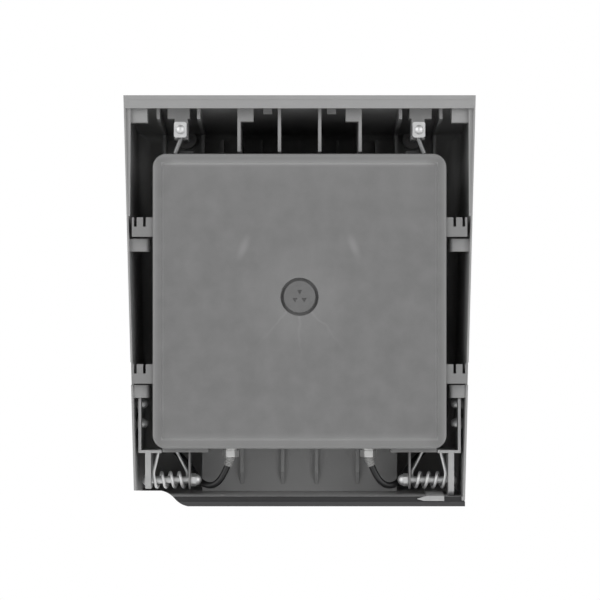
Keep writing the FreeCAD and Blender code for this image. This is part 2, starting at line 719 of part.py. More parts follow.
def spring_path():
    """Edges of the left spring's centre line, from its outer leg through the coil to its inner leg."""
    outer_start, outer_heading = coil_point(0.0)
    outer_top = V(-OUTER_LEG_X, outer_start.y, BRACKET_FLANGE_TOP - STEEL / 2)
    outer_corner = outer_start - outer_heading * LEG_TANGENT_RUN
    outer_edges, _ = rounded_route([outer_top, outer_corner, outer_start])
    edges = list(outer_edges)
    steps = int(round(COIL_TURNS * 4))
    for step in range(steps):
        start, start_heading = coil_point(step / 4)
        end, end_heading = coil_point((step + 1) / 4)
        edges += biarc(start, start_heading, end, end_heading)
    inner_start, inner_heading = coil_point(COIL_TURNS)
    inner_corner = inner_start + inner_heading * LEG_TANGENT_RUN
    inner_top = V(-INNER_LEG_X, inner_start.y, hanger_top() - HANGER_THICK / 2)
    inner_edges, _ = rounded_route([inner_start, inner_corner, inner_top])
    return edges + inner_edges


def coil_point(turns):
    """Point of the left coil and its heading, starting at the wall side and running inwards."""
    angle = turns * 2 * math.pi
    x = -COIL_OUTER_X + COIL_PITCH * turns
    point = V(x, HINGE_Y - COIL_RADIUS * math.cos(angle), HINGE_Z - COIL_RADIUS * math.sin(angle))
    heading = V(COIL_PITCH / (2 * math.pi), COIL_RADIUS * math.sin(angle), -COIL_RADIUS * math.cos(angle))
    return point, heading.normalize()


def leg_hole(from_end):
    """Bar that clears one spring leg, for the hole it passes through."""
    edges = spring_path()
    edge = edges[-1] if from_end else edges[0]
    start, end = edge.valueAt(edge.FirstParameter), edge.valueAt(edge.LastParameter)
    tip, foot = (end, start) if from_end else (start, end)
    along = (tip - foot).normalize()
    return rod(WIRE / 2 + LEG_HOLE_CLEARANCE, tip - along * 5, tip + along * 3)


def torsion_spring():
    """Left torsion spring as one unbroken wire, with its least gap to itself printed."""
    edges = spring_path()
    spring = tube(edges, WIRE / 2)
    points = []
    for edge in edges:
        points += edge.discretize(7)[:-1]
    spacing = Part.Wire(edges).Length / len(points)
    skip = int(3 * WIRE / spacing) + 2
    gap = min((points[i] - points[j]).Length for i in range(len(points))
              for j in range(i + skip, len(points))) - WIRE
    print("spring: least gap to itself", round(gap, 2), "mm; length", round(Part.Wire(edges).Length, 1))
    return spring


def hanger():
    """Left hanger: flange under the box with a drilled lug for the pivot bolt."""
    top = hanger_top()
    flange = block((-HANGER_X[1], -HANGER_X[0]), HANGER_Y, (top - HANGER_THICK, top))
    x_pair = (-LUG_OUTER_X, -LUG_OUTER_X + LUG_THICK)
    eye = rod(LUG_RADIUS, V(x_pair[0], HINGE_Y, HINGE_Z), V(x_pair[1], HINGE_Y, HINGE_Z))
    web = block(x_pair, (HINGE_Y - LUG_RADIUS, HINGE_Y + LUG_RADIUS), (HINGE_Z, top - HANGER_THICK / 2))
    bore = rod(BOLT_RADIUS + FIT_CLEARANCE, V(x_pair[0] - 1, HINGE_Y, HINGE_Z),
               V(x_pair[1] + 1, HINGE_Y, HINGE_Z))
    holes = [rod(HANGER_SCREW_RADIUS + FIT_CLEARANCE, V(x, y, top - HANGER_THICK - 1), V(x, y, top + 1))
             for x, y in hanger_screw_points()]
    return flange.fuse([eye, web]).cut([bore, leg_hole(True)] + holes).removeSplitter()


def hanger_screws():
    """Screws that hold both hangers to the box, from below."""
    seat_z = hanger_top() - HANGER_THICK
    length = HANGER_THICK + HANGER_PAD_DROP + RIM_STEP + BOX_WALL
    left = [dome_screw(HANGER_HEAD_RADIUS, HANGER_HEAD_HEIGHT, HANGER_SCREW_RADIUS, V(x, y, seat_z),
                       V(0, 0, -1), length) for x, y in hanger_screw_points()]
    return left + [mirrored(screw) for screw in left]


def bracket_y():
    """Y limits of the hinge brackets, centred on the hinge line."""
    return (HINGE_Y - BRACKET_DEPTH / 2, HINGE_Y + BRACKET_DEPTH / 2)


def bracket_screw_points():
    """Left bracket screws, on the bracket's inner face."""
    return [V(-BRACKET_OUTER_X + STEEL, HINGE_Y, z) for z in BRACKET_SCREW_Z]


def hinge_bracket(plate_end):
    """Left hinge bracket: strip on the side wall, flange inwards and pivot plate down."""
    bottom = BRACKET_FLANGE_TOP - STEEL
    strip = block((-BRACKET_OUTER_X, -BRACKET_OUTER_X + STEEL), bracket_y(), (bottom, BRACKET_TOP))
    flange = block((-BRACKET_OUTER_X, -BRACKET_FLANGE_END), bracket_y(), (bottom, BRACKET_FLANGE_TOP))
    plate = block((-PLATE_OUTER_X, -PLATE_OUTER_X + PLATE_THICK), bracket_y(), (plate_end, bottom))
    plate = plate.makeFillet(PLATE_ROUND, edges_on(plate, lambda p: abs(p.z - plate_end) < 1e-6
                                                   and abs(abs(p.y - HINGE_Y) - BRACKET_DEPTH / 2) < 1e-6))
    bore = rod(BOLT_RADIUS + FIT_CLEARANCE, V(-PLATE_OUTER_X - 1, HINGE_Y, HINGE_Z),
               V(-PLATE_OUTER_X + PLATE_THICK + 1, HINGE_Y, HINGE_Z))
    holes = [rod(BRACKET_SCREW_RADIUS + FIT_CLEARANCE, point + V(1, 0, 0), point - V(STEEL + 1, 0, 0))
             for point in bracket_screw_points()]
    return strip.fuse([flange, plate]).cut([bore, leg_hole(False)] + holes).removeSplitter()


def bracket_screws():
    """Dome-head screws that hold both brackets to the side walls."""
    left = []
    for point in bracket_screw_points():
        length = inner_half_width_at(point.z) + SHELL_WALL / 2 + point.x
        left.append(dome_screw(BRACKET_HEAD_RADIUS, BRACKET_HEAD_HEIGHT, BRACKET_SCREW_RADIUS, point,
                               V(1, 0, 0), length))
    return left + [mirrored(screw) for screw in left]


def washer_x():
    """X of the outer face of the left washer, beside the lug."""
    return -LUG_OUTER_X + LUG_THICK + SIDE_PLAY


def pivot_bolt():
    """Left pivot bolt, with its domed head outside the bracket's plate."""
    seat = V(-PLATE_OUTER_X, HINGE_Y, HINGE_Z)
    length = washer_x() + WASHER_THICK + NUT_HEIGHT + PLATE_OUTER_X
    return dome_screw(BOLT_HEAD_RADIUS, BOLT_HEAD_HEIGHT, BOLT_RADIUS, seat, V(-1, 0, 0), length)


def pivot_washers():
    """Washers between the lugs and the acorn nuts."""
    start = V(washer_x(), HINGE_Y, HINGE_Z)
    end = start + V(WASHER_THICK, 0, 0)
    ring = rod(WASHER_RADIUS, start, end).cut(rod(BOLT_RADIUS, start, end))
    return both(ring)


def pivot_nuts():
    """Acorn nuts on the inner ends of the pivot bolts."""
    start = V(washer_x() + WASHER_THICK, HINGE_Y, HINGE_Z)
    end = start + V(NUT_HEIGHT, 0, 0)
    nut = hex_bar(NUT_HALF_FLATS, start, end)
    dome = Part.makeSphere(NUT_HALF_FLATS, end).cut(
        block((start.x - 2 * NUT_HALF_FLATS, end.x), (HINGE_Y - 9, HINGE_Y + 9), (HINGE_Z - 9, HINGE_Z + 9)))
    nut = nut.fuse(dome).cut(rod(BOLT_RADIUS, start, end))
    return both(nut.removeSplitter())


# Latches

def latch_tip_direction():
    """Way the left rod points from its hub at rest."""
    lean = math.radians(LATCH_LEAN_DEG)
    return V(-math.sin(lean), 0, -math.cos(lean))


def latch_centre(y):
    """Point of the left latch's axis at a depth."""
    return V(-LATCH_X, y, LATCH_Z)


def latch_hub():
    """Left latch hub: square block on its shaft, with a socket for its rod."""
    half_x, half_z = HUB_SIZE[0] / 2, HUB_SIZE[1] / 2
    hub = block((-LATCH_X - half_x, -LATCH_X + half_x), HUB_Y, (LATCH_Z - half_z, LATCH_Z + half_z))
    hub = hub.makeFillet(HUB_ROUND, edges_on(hub, lambda p: abs(abs(p.x + LATCH_X) - half_x) < 1e-6
                                             and abs(abs(p.z - LATCH_Z) - half_z) < 1e-6))
    bore = rod(SHAFT_RADIUS, latch_centre(HUB_Y[0] - 1), latch_centre(HUB_Y[1] + 1))
    return hub.cut([bore, latch_rod()]).removeSplitter()


def latch_rod():
    """Left latch rod, leaning outwards from its hub."""
    along = latch_tip_direction()
    inwards = V(-along.z, 0, along.x)
    foot = latch_centre((HUB_Y[0] + HUB_Y[1]) / 2) + inwards * ROD_OFFSET
    return rod(ROD_RADIUS, foot + along * ROD_ROOT, foot + along * ROD_TIP)


def shaft_seat():
    """Y of the bottom of the recess for the shaft's head."""
    return SHELL_FRONT - SHAFT_HEAD_HEIGHT - SHAFT_HEAD_SINK


def latch_shaft():
    """Left latch shaft, with a slotted head in the front face."""
    shaft = rod(SHAFT_RADIUS, latch_centre(HUB_Y[0]), latch_centre(shaft_seat()))
    front = shaft_seat() + SHAFT_HEAD_HEIGHT
    head = rod(SHAFT_HEAD_RADIUS, latch_centre(shaft_seat()), latch_centre(front))
    slot = block((-LATCH_X - SHAFT_HEAD_RADIUS, -LATCH_X + SHAFT_HEAD_RADIUS),
                 (front - SHAFT_SLOT_DEPTH, front),
                 (LATCH_Z - SHAFT_SLOT_WIDTH / 2, LATCH_Z + SHAFT_SLOT_WIDTH / 2))
    tapped = rod(LATCH_SCREW_RADIUS, latch_centre(HUB_Y[0]), latch_centre(HUB_Y[1]))
    return shaft.fuse(head).cut([slot, tapped]).removeSplitter()


def latch_screw():
    """Screw in the end of the left shaft that holds its hub on."""
    return dome_screw(LATCH_SCREW_HEAD, LATCH_SCREW_HEIGHT, LATCH_SCREW_RADIUS, latch_centre(HUB_Y[0]),
                      V(0, -1, 0), HUB_Y[1] - HUB_Y[0])


def keeper_y():
    """Y of the keepers' wall side, just in front of the latch rods."""
    return (HUB_Y[0] + HUB_Y[1]) / 2 + ROD_RADIUS + KEEPER_GAP


def keeper_foot_top():
    """Height of the top of the keepers' feet."""
    return BOX_TOP - RIM_STEP + KEEPER_THICK


def keeper_screw_point():
    """Seat of the left keeper's screw, on its foot."""
    return V(-(KEEPER_X[0] + KEEPER_X[1]) / 2, keeper_y() + KEEPER_THICK + KEEPER_FOOT / 2, keeper_foot_top())


def latch_keepers():
    """Angle pieces on top of the box that the latch rods hook behind."""
    x_pair = (-KEEPER_X[1], -KEEPER_X[0])
    base = BOX_TOP - RIM_STEP
    rear = keeper_y()
    upright = block(x_pair, (rear, rear + KEEPER_THICK), (base, KEEPER_TOP))
    foot = block(x_pair, (rear, rear + KEEPER_THICK + KEEPER_FOOT), (base, keeper_foot_top()))
    point = keeper_screw_point()
    hole = rod(KEEPER_SCREW_RADIUS + FIT_CLEARANCE, point + V(0, 0, 1), point - V(0, 0, KEEPER_THICK + 1))
    return both(upright.fuse(foot).cut(hole).removeSplitter())


def keeper_screws():
    """Screws that hold the keepers to the box."""
    return both(dome_screw(KEEPER_HEAD_RADIUS, KEEPER_HEAD_HEIGHT, KEEPER_SCREW_RADIUS, keeper_screw_point(),
                           V(0, 0, 1), KEEPER_THICK + BOX_WALL))


# Leads

def gland():
    """Left cable gland through the bottom of the box."""
    wall_low = BOX_BOTTOM + RIM_STEP
    at = lambda z: V(-GLAND_X, GLAND_Y, z)
    collar = rod(GLAND_BODY_RADIUS, at(GLAND_HEX[0]), at(wall_low))
    hexagon = hex_bar(GLAND_HEX_HALF_FLATS, at(GLAND_HEX[1]), at(GLAND_HEX[0]))
    thread = rod(GLAND_THREAD_RADIUS, at(wall_low), at(wall_low + GLAND_THREAD_LENGTH))
    return collar.fuse([hexagon, thread]).removeSplitter()


def gland_nuts():
    """Lock nuts of the glands, inside the box."""
    low = BOX_BOTTOM + RIM_STEP + BOX_WALL
    start, end = V(-GLAND_X, GLAND_Y, low), V(-GLAND_X, GLAND_Y, low + GLAND_NUT_HEIGHT)
    return both(hex_bar(GLAND_NUT_HALF_FLATS, start, end).cut(rod(GLAND_THREAD_RADIUS, start, end)))


def route_points():
    """Route of the left lead."""
    return [V(*point) for point in LEAD_ROUTE]


def around_gland(z_pair):
    """Square space round the left gland between two heights."""
    reach = 4 * GLAND_BODY_RADIUS
    return block((-GLAND_X - reach, -GLAND_X + reach), (GLAND_Y - reach, GLAND_Y + reach), z_pair)


def strain_relief():
    """Tapered sleeve round the start of the left lead."""
    points = route_points()
    along = (points[1] - points[0]).normalize()
    end = points[0] + along * SLEEVE_LENGTH
    sleeve = cone(SLEEVE_RADII[0], SLEEVE_RADII[1], points[0] - along * 2, end)
    sleeve = sleeve.common(around_gland((GLAND_HEX[1] - 2 * SLEEVE_LENGTH, GLAND_HEX[1])))
    return sleeve.cut(rod(LEAD_RADIUS + SLEEVE_CLEARANCE, points[0] - along * 5, end + along))


def lead():
    """Left lead from its gland, round its slack loop and into the light chamber."""
    edges, radii = rounded_route(route_points())
    solid = tube(edges, LEAD_RADIUS).cut(around_gland((GLAND_HEX[1], GLAND_HEX[0])))
    length = Part.Wire(edges).Length
    print("lead: length", round(length, 1), "radii", [round(radius, 1) for radius in radii],
          "volume share", round(solid.Volume / (math.pi * LEAD_RADIUS ** 2 * length), 4))
    return solid


def grommets():
    """Rubber grommets in the ends of the light chamber."""
    outer = -CHAMBER_HALF_WIDTH - GROMMET_LIP
    inner = -CHAMBER_HALF_WIDTH + CHAMBER_WALL + GROMMET_LIP
    at = lambda x: V(x, GROMMET_Y, GROMMET_Z)
    ring = rod(GROMMET_WAIST, at(outer), at(inner))
    ring = ring.fuse([rod(GROMMET_RADIUS, at(outer), at(-CHAMBER_HALF_WIDTH)),
                      rod(GROMMET_RADIUS, at(-CHAMBER_HALF_WIDTH + CHAMBER_WALL), at(inner))])
    return both(ring.cut(rod(LEAD_RADIUS + FIT_CLEARANCE, at(outer - 1), at(inner + 1))).removeSplitter())


# Housing

def top_at(y):
    """Height of the outside of the sloping top wall at a depth."""
    share = (y - SHELL_REAR_TOP) / (SHELL_FRONT - SHELL_REAR_TOP)
    return SHELL_TOP + share * (SHELL_FRONT_TOP - SHELL_TOP)


def side_prism(rear_pair, front, drop, floor, radius):
    """Side profile of the shell carried across its width, with the top front edge rounded."""
    rear_top, rear_bottom = rear_pair
    corner_z = top_at(front) - drop
    outline = [(rear_top, top_at(rear_top) - drop), (front, corner_z), (front, floor), (rear_bottom, floor)]
    solid = prism_x(outline, (-SHELL_HALF_TOP - 1, SHELL_HALF_TOP + 1))
    corner = edges_on(solid, lambda p: abs(p.y - front) < 1e-6 and abs(p.z - corner_z) < 1e-6)
    return solid.makeFillet(radius, corner)


def front_prism(inset, z_low, y_pair, radius):
    """Tapered front view of the shell carried along Y, with its front side edges rounded."""
    z_high = SHELL_TOP + 1
    outline = [(side * (half_width_at(z) - inset), z)
               for side, z in ((LEFT, z_high), (RIGHT, z_high), (RIGHT, z_low), (LEFT, z_low))]
    solid = prism_y(outline, y_pair)
    sides = edges_on(solid, lambda p: abs(p.y - y_pair[1]) < 1e-6
                     and abs(abs(p.x) - half_width_at(p.z) + inset) < 1e-4)
    return solid.makeFillet(radius, sides)


def shell_outer():
    """Outside of the shell as one solid."""
    profile = side_prism((SHELL_REAR_TOP, SHELL_REAR_BOTTOM), SHELL_FRONT, 0, SHELL_BOTTOM, SHELL_TOP_ROUND)
    return profile.common(front_prism(0, SHELL_BOTTOM, (0, SHELL_FRONT), SHELL_SIDE_ROUND))


def shell_cavity():
    """Space inside the shell, open at the rear."""
    rear = -20.0
    front = SHELL_FRONT - SHELL_FRONT_WALL
    profile = side_prism((rear, rear), front, SHELL_TOP_WALL, FLOOR_TOP, SHELL_TOP_ROUND - SHELL_TOP_WALL)
    return profile.common(front_prism(SHELL_WALL, FLOOR_TOP, (rear, front), SHELL_SIDE_ROUND - SHELL_WALL))


def rear_flare():
    """Widening of the shell's opening towards its rear edge, where the side walls thin out."""
    top = top_at(SHELL_FLARE_DEPTH) - SHELL_TOP_WALL
    rings = []
    for inset, y in ((SHELL_EDGE_WALL, 0), (SHELL_WALL, SHELL_FLARE_DEPTH)):
        corners = [V(side * (half_width_at(z) - inset), y, z)
                   for side, z in ((LEFT, top), (RIGHT, top), (RIGHT, FLOOR_TOP), (LEFT, FLOOR_TOP))]
        rings.append(Part.makePolygon(corners + [corners[0]]))
    return Part.makeLoft(rings, True, True)


def rib_bottom():
    """Low end of the ribs on the front wall, in the roof of the light chamber."""
    return CHAMBER_TOP - CHAMBER_WALL / 2


def tall_rib(x):
    """Deep rib over the box that runs on down the front wall."""
    low = BOX_TOP + RIB_BOX_CLEARANCE
    edge = SHELL_FRONT - SHELL_FRONT_WALL - RIB_FRONT_DEPTH
    outline = [(RIB_REAR, SHELL_TOP), (RIB_REAR, low), (SHELL_FRONT - RIB_KNEE_DEPTH, low),
               (edge, low - RIB_KNEE_DROP), (edge, rib_bottom()), (SHELL_FRONT, rib_bottom()),
               (SHELL_FRONT, SHELL_TOP)]
    return prism_x(outline, (x - RIB_THICK / 2, x + RIB_THICK / 2))


def low_rib(x):
    """Shallow rib under the top wall that runs on down the front wall."""
    edge = SHELL_FRONT - SHELL_FRONT_WALL - RIB_FRONT_DEPTH
    outline = [(RIB_REAR, SHELL_TOP), (RIB_REAR, RIB_LOW_EDGE), (edge, RIB_LOW_EDGE - RIB_LOW_DROP),
               (edge, rib_bottom()), (SHELL_FRONT, rib_bottom()), (SHELL_FRONT, SHELL_TOP)]
    return prism_x(outline, (x - RIB_THICK / 2, x + RIB_THICK / 2))


def front_fin(x):
    """Thin fin on the front wall between two ribs."""
    wall = SHELL_FRONT - SHELL_FRONT_WALL
    return block((x - FIN_THICK / 2, x + FIN_THICK / 2), (wall - FIN_DEPTH, SHELL_FRONT),
                 (rib_bottom(), FIN_TOP))


def chamber_walls():
    """Walls of the light chamber as one solid."""
    outside = block((-CHAMBER_HALF_WIDTH, CHAMBER_HALF_WIDTH), (CHAMBER_REAR, SHELL_FRONT),
                    (SHELL_BOTTOM, CHAMBER_TOP))
    inner = CHAMBER_HALF_WIDTH - CHAMBER_WALL
    inside = block((-inner, inner), (CHAMBER_REAR + CHAMBER_WALL, SHELL_FRONT - SHELL_FRONT_WALL),
                   (FLOOR_TOP, CHAMBER_TOP - CHAMBER_WALL))
    return outside.cut(inside)


def chamber_rib(x):
    """Rib on the rear face of the light chamber, pointed at its low end."""
    rear = CHAMBER_REAR - CHAMBER_RIB_DEPTH
    outline = [(rear, CHAMBER_TOP), (rear, CHAMBER_RIB_END + CHAMBER_RIB_POINT),
               (CHAMBER_REAR, CHAMBER_RIB_END), (CHAMBER_REAR + CHAMBER_WALL / 2, CHAMBER_RIB_END),
               (CHAMBER_REAR + CHAMBER_WALL / 2, CHAMBER_TOP)]
    return prism_x(outline, (x - CHAMBER_RIB_THICK / 2, x + CHAMBER_RIB_THICK / 2))


def hanging_pad(sizes):
    """Left pad under the top wall."""
    x_in, x_out, low, rear, front = sizes
    return block((-x_out, -x_in), (rear, front), (low, PAD_TOP))


def side_flange():
    """Tapered lip inside the upper part of the left side wall."""
    outer = half_width_at(TOP_FLANGE_BOTTOM)
    outline = [(-outer + SHELL_EDGE_WALL / 2, PAD_TOP), (-outer + SIDE_FLANGE_WIDTH, PAD_TOP),
               (-outer + SIDE_FLANGE_WIDTH, TOP_FLANGE_BOTTOM),
               (-inner_half_width_at(SIDE_FLANGE_END), SIDE_FLANGE_END),
               (-half_width_at(SIDE_FLANGE_END) + SHELL_EDGE_WALL / 2, SIDE_FLANGE_END)]
    return prism_y(outline, SIDE_FLANGE_Y)


def side_boss(ear_top):
    """Left boss on the side wall, just under an ear of the box."""
    top = ear_top - EAR_HEIGHT - EAR_GAP
    outer = half_width_at(top - BOSS_HEIGHT) - SHELL_WALL / 2
    boss = block((-outer, -BOSS_INNER_X), BOSS_Y, (top - BOSS_HEIGHT, top))
    return boss.makeFillet(BOSS_ROUND, edges_on(boss, lambda p: abs(p.x + BOSS_INNER_X) < 1e-6
                                                and abs(p.y - BOSS_Y[0]) < 1e-6))


def bracket_boss(point):
    """Boss on the left side wall under one bracket screw."""
    outer = half_width_at(point.z) - SHELL_WALL / 2
    return rod(BRACKET_BOSS_RADIUS, V(-outer, point.y, point.z), V(-BRACKET_OUTER_X, point.y, point.z))


def latch_post():
    """Post under the top wall that carries the left latch shaft."""
    upper = block((-LATCH_X - POST_UPPER_REACH[1], -LATCH_X + POST_UPPER_REACH[0]), POST_Y,
                  (POST_UPPER_BOTTOM, PAD_TOP))
    lower = block((-LATCH_X - POST_LOWER_HALF, -LATCH_X + POST_LOWER_HALF), POST_Y,
                  (LATCH_Z - POST_LOWER_DROP, PAD_TOP))
    return upper.fuse(lower)


def far_left():
    """X beyond the left side of the shell."""
    return -SHELL_HALF_TOP - RIM_DEPTH


def seen_at(points, y):
    """Points given at the shell's rear edge, moved to a depth along their lines from the eye point."""
    scale = (EYE_DISTANCE + y) / (EYE_DISTANCE + SHELL_REAR_BOTTOM)
    return [V(point.x * scale, y, point.z * scale) for point in points]


def relief_wire(y):
    """Outline of the missing corner at a depth."""
    low = SHELL_BOTTOM - FRAME_THICK - GASKET_THICK
    half_run = (RELIEF_FLAT_END - RELIEF_RUNOUT) / 2
    half_drop = (RELIEF_TOP - low) / 2
    middle = V(-RELIEF_RUNOUT - half_run, 0, low + half_drop)
    bend = V(-half_run * RELIEF_BEND[0], 0, half_drop * RELIEF_BEND[1])
    corners = [V(far_left(), 0, RELIEF_TOP), V(-RELIEF_FLAT_END, 0, RELIEF_TOP), middle + bend, middle,
               middle - bend, V(-RELIEF_RUNOUT, 0, low), V(-RELIEF_RUNOUT, 0, RELIEF_LOW),
               V(far_left(), 0, RELIEF_LOW)]
    points = seen_at(corners, y)
    edges = [Part.LineSegment(points[0], points[1]), Part.Arc(points[1], points[2], points[3]),
             Part.Arc(points[3], points[4], points[5]), Part.LineSegment(points[5], points[6]),
             Part.LineSegment(points[6], points[7]), Part.LineSegment(points[7], points[0])]
    return Part.Wire([edge.toShape() for edge in edges])


def relief():
    """Wedge-shaped space at the lower left rear corner."""
    return Part.makeLoft([relief_wire(0), relief_wire(SHELL_FRONT + RIM_DEPTH)], True, True)


def relief_side():
    """Wedge that takes off the gasket and the lens frame to the left of the missing corner's bend."""
    corners = [V(far_left(), 0, 0), V(-RELIEF_FLAT_END, 0, 0), V(-RELIEF_FLAT_END, 0, RELIEF_LOW),
               V(far_left(), 0, RELIEF_LOW)]
    rings = [seen_at(corners, y) for y in (0, SHELL_FRONT + RIM_DEPTH)]
    return Part.makeLoft([Part.makePolygon(ring + [ring[0]]) for ring in rings], True, True)


def shell():
    """Cast housing shell with its ribs, pads, bosses, posts and light chamber."""
    outer = shell_outer()
    inside = []
    for index in range(2):
        inside += both(tall_rib(-(index + 0.5) * RIB_PITCH))
        inside += both(low_rib(-(index + 2.5) * RIB_PITCH))
    inside.append(front_fin(0))
    for index in (1, 2):
        inside += both(front_fin(-index * RIB_PITCH))
    for sizes in (CORNER_PAD, RIB_PAD, SMALL_PAD):
        inside += both(hanging_pad(sizes))
    inside += both(side_flange())
    for ear_top in EAR_TOPS:
        inside += both(side_boss(ear_top))
    for point in bracket_screw_points():
        inside += both(bracket_boss(point))
    inside += both(latch_post())
    seat = shaft_seat()
    front = SHELL_FRONT - SHELL_FRONT_WALL / 2
    inside += both(rod(SHAFT_SEAT_RADIUS, latch_centre(seat - SHAFT_SEAT_WALL), latch_centre(front)))
    half = half_width_at(TOP_FLANGE_BOTTOM) - SHELL_EDGE_WALL / 2
    inside.append(block((-half, half), TOP_FLANGE_Y, (TOP_FLANGE_BOTTOM, SHELL_TOP - SHELL_TOP_WALL / 2)))
    inside.append(chamber_walls())
    for x in CHAMBER_RIB_X:
        inside += both(chamber_rib(-x))
    walls = outer.cut([shell_cavity(), rear_flare()])
    solid = walls.fuse([piece.common(outer) for piece in inside])
    cuts = []
    floor_half = inner_half_width_at(FLOOR_TOP)
    cuts.append(block((-floor_half, floor_half), (0, SHELL_REAR_BOTTOM + GASKET_UPSTAND),
                      (SHELL_BOTTOM, FLOOR_TOP)))
    cuts.append(lens_window(0, (SHELL_BOTTOM - 1, FLOOR_TOP + 1)))
    low_ear = EAR_TOPS[1]
    cuts += both(block((-SHELL_HALF_TOP, -BOSS_INNER_X), (0, EAR_Y[1] + EAR_GAP),
                       (low_ear - EAR_HEIGHT - EAR_GAP, low_ear + EAR_GAP)))
    for point in bracket_screw_points():
        tip = inner_half_width_at(point.z) + SHELL_WALL / 2
        cuts += both(rod(BRACKET_SCREW_RADIUS, point, V(-tip, point.y, point.z)))
    bore = rod(SHAFT_RADIUS + FIT_CLEARANCE, latch_centre(HUB_Y[1]), latch_centre(SHELL_FRONT + 1))
    recess = rod(SHAFT_HEAD_RADIUS + SHAFT_HEAD_CLEARANCE, latch_centre(seat), latch_centre(SHELL_FRONT + 1))
    cuts += both(bore) + both(recess)
    hole_x = (-CHAMBER_HALF_WIDTH - 1, -CHAMBER_HALF_WIDTH + CHAMBER_WALL + 1)
    cuts += both(rod(GROMMET_WAIST, V(hole_x[0], GROMMET_Y, GROMMET_Z), V(hole_x[1], GROMMET_Y, GROMMET_Z)))
    for x, y in frame_screw_points():
        cuts.append(rod(FRAME_SCREW_RADIUS, V(x, y, SHELL_BOTTOM - 1), V(x, y, FLOOR_TOP)))
    for x, y in board_screw_points():
        cuts.append(rod(BOARD_SCREW_RADIUS, V(x, y, board_top()), V(x, y, CHAMBER_TOP - CHAMBER_WALL / 2)))
    cuts.append(relief())
    return solid.cut(cuts).removeSplitter()


def bottom_slab(inset, z_pair):
    """Outline of the shell's bottom edge drawn in by an inset, carried along Z."""
    half = SHELL_HALF_BOTTOM - inset
    slab = block((-half, half), (SHELL_REAR_BOTTOM + inset, SHELL_FRONT - inset), z_pair)
    corners = edges_on(slab, lambda p: abs(p.y - SHELL_FRONT + inset) < 1e-6 and abs(abs(p.x) - half) < 1e-6)
    return slab.makeFillet(SHELL_SIDE_ROUND - inset, corners)


def frame_top():
    """Height of the top of the lens frame."""
    return SHELL_BOTTOM - GASKET_THICK


def frame_screw_points():
    """Lens frame screws, as (x, y)."""
    return [(side * x, y) for x, y in FRAME_SCREWS for side in (LEFT, RIGHT)]


def frame_screw_holes():
    """Clearance holes for the lens frame screws."""
    low = frame_top() - FRAME_THICK - 1
    return [rod(FRAME_SCREW_RADIUS + FIT_CLEARANCE, V(x, y, low), V(x, y, FLOOR_TOP))
            for x, y in frame_screw_points()]


def lens_gasket():
    """Black sheet gasket under the floor, with an upstand along the rear edge."""
    sheet = bottom_slab(GASKET_INSET, (frame_top(), SHELL_BOTTOM))
    half = inner_half_width_at(FLOOR_TOP) - GASKET_INSET
    upstand = block((-half, half), (SHELL_REAR_BOTTOM + GASKET_INSET, SHELL_REAR_BOTTOM + GASKET_UPSTAND),
                    (frame_top(), FLOOR_TOP - GASKET_INSET / 2))
    aperture = lens_window(0, (frame_top() - 1, SHELL_BOTTOM + 1))
    return sheet.fuse(upstand).cut([aperture, relief(), relief_side()] + frame_screw_holes()).removeSplitter()


def lens_window(extra, z_pair):
    """Rectangle round the light opening, wider by an amount on each side."""
    half = APERTURE_HALF_WIDTH + extra
    return block((-half, half), (APERTURE_Y[0] - extra, APERTURE_Y[1] + extra), z_pair)


def lens_frame():
    """Bottom frame that carries the lens, flush with the shell."""
    low = frame_top() - FRAME_THICK
    frame = bottom_slab(0, (low, frame_top()))
    frame = frame.cut([lens_window(0, (low - 1, frame_top() + 1)),
                       lens_window(LENS_LEDGE + FIT_CLEARANCE, (frame_top() - LENS_THICK, frame_top() + 1))])
    heads = [rod(FRAME_HEAD_RADIUS + 2 * FIT_CLEARANCE, V(x, y, low - 1), V(x, y, low + FRAME_HEAD_HEIGHT))
             for x, y in frame_screw_points()]
    return frame.cut(heads + frame_screw_holes() + [relief(), relief_side()]).removeSplitter()


def lens():
    """Flat lens held between the frame's ledge and the gasket."""
    return lens_window(LENS_LEDGE, (frame_top() - LENS_THICK, frame_top()))


def frame_screws():
    """Screws of the lens frame, with their heads sunk in it."""
    seat = frame_top() - FRAME_THICK + FRAME_HEAD_HEIGHT
    return [flat_screw(FRAME_HEAD_RADIUS, FRAME_HEAD_HEIGHT, FRAME_SCREW_RADIUS, V(x, y, seat), V(0, 0, -1),
                       FLOOR_TOP - FIT_CLEARANCE - seat) for x, y in frame_screw_points()]


def board_top():
    """Height of the top of the LED board, under its thermal pad."""
    return CHAMBER_TOP - CHAMBER_WALL - PAD_THICK


def board_y():
    """Y limits of the LED board."""
    return (APERTURE_Y[0] + BOARD_MARGIN_Y, APERTURE_Y[1] - BOARD_MARGIN_Y)


def board_mid_y():
    """Y of the middle of the LED board."""
    return sum(APERTURE_Y) / 2


def board_screw_points():
    """LED board screws, as (x, y)."""
    return [(side * x, board_mid_y()) for side in (LEFT, RIGHT) for x in BOARD_SCREW_X]


def board_holes(z_pair, clearance):
    """Holes for the board screws through a layer."""
    return [rod(BOARD_SCREW_RADIUS + clearance, V(x, y, z_pair[0] - 1), V(x, y, z_pair[1] + 1))
            for x, y in board_screw_points()]


def thermal_pad():
    """Thermal pad between the LED board and the chamber's roof."""
    z_pair = (board_top(), board_top() + PAD_THICK)
    pad = block((-BOARD_HALF_WIDTH, BOARD_HALF_WIDTH), board_y(), z_pair)
    return pad.cut(board_holes(z_pair, FIT_CLEARANCE))


def led_board():
    """LED circuit board."""
    z_pair = (board_top() - BOARD_THICK, board_top())
    board = block((-BOARD_HALF_WIDTH, BOARD_HALF_WIDTH), board_y(), z_pair)
    return board.cut(board_holes(z_pair, FIT_CLEARANCE))


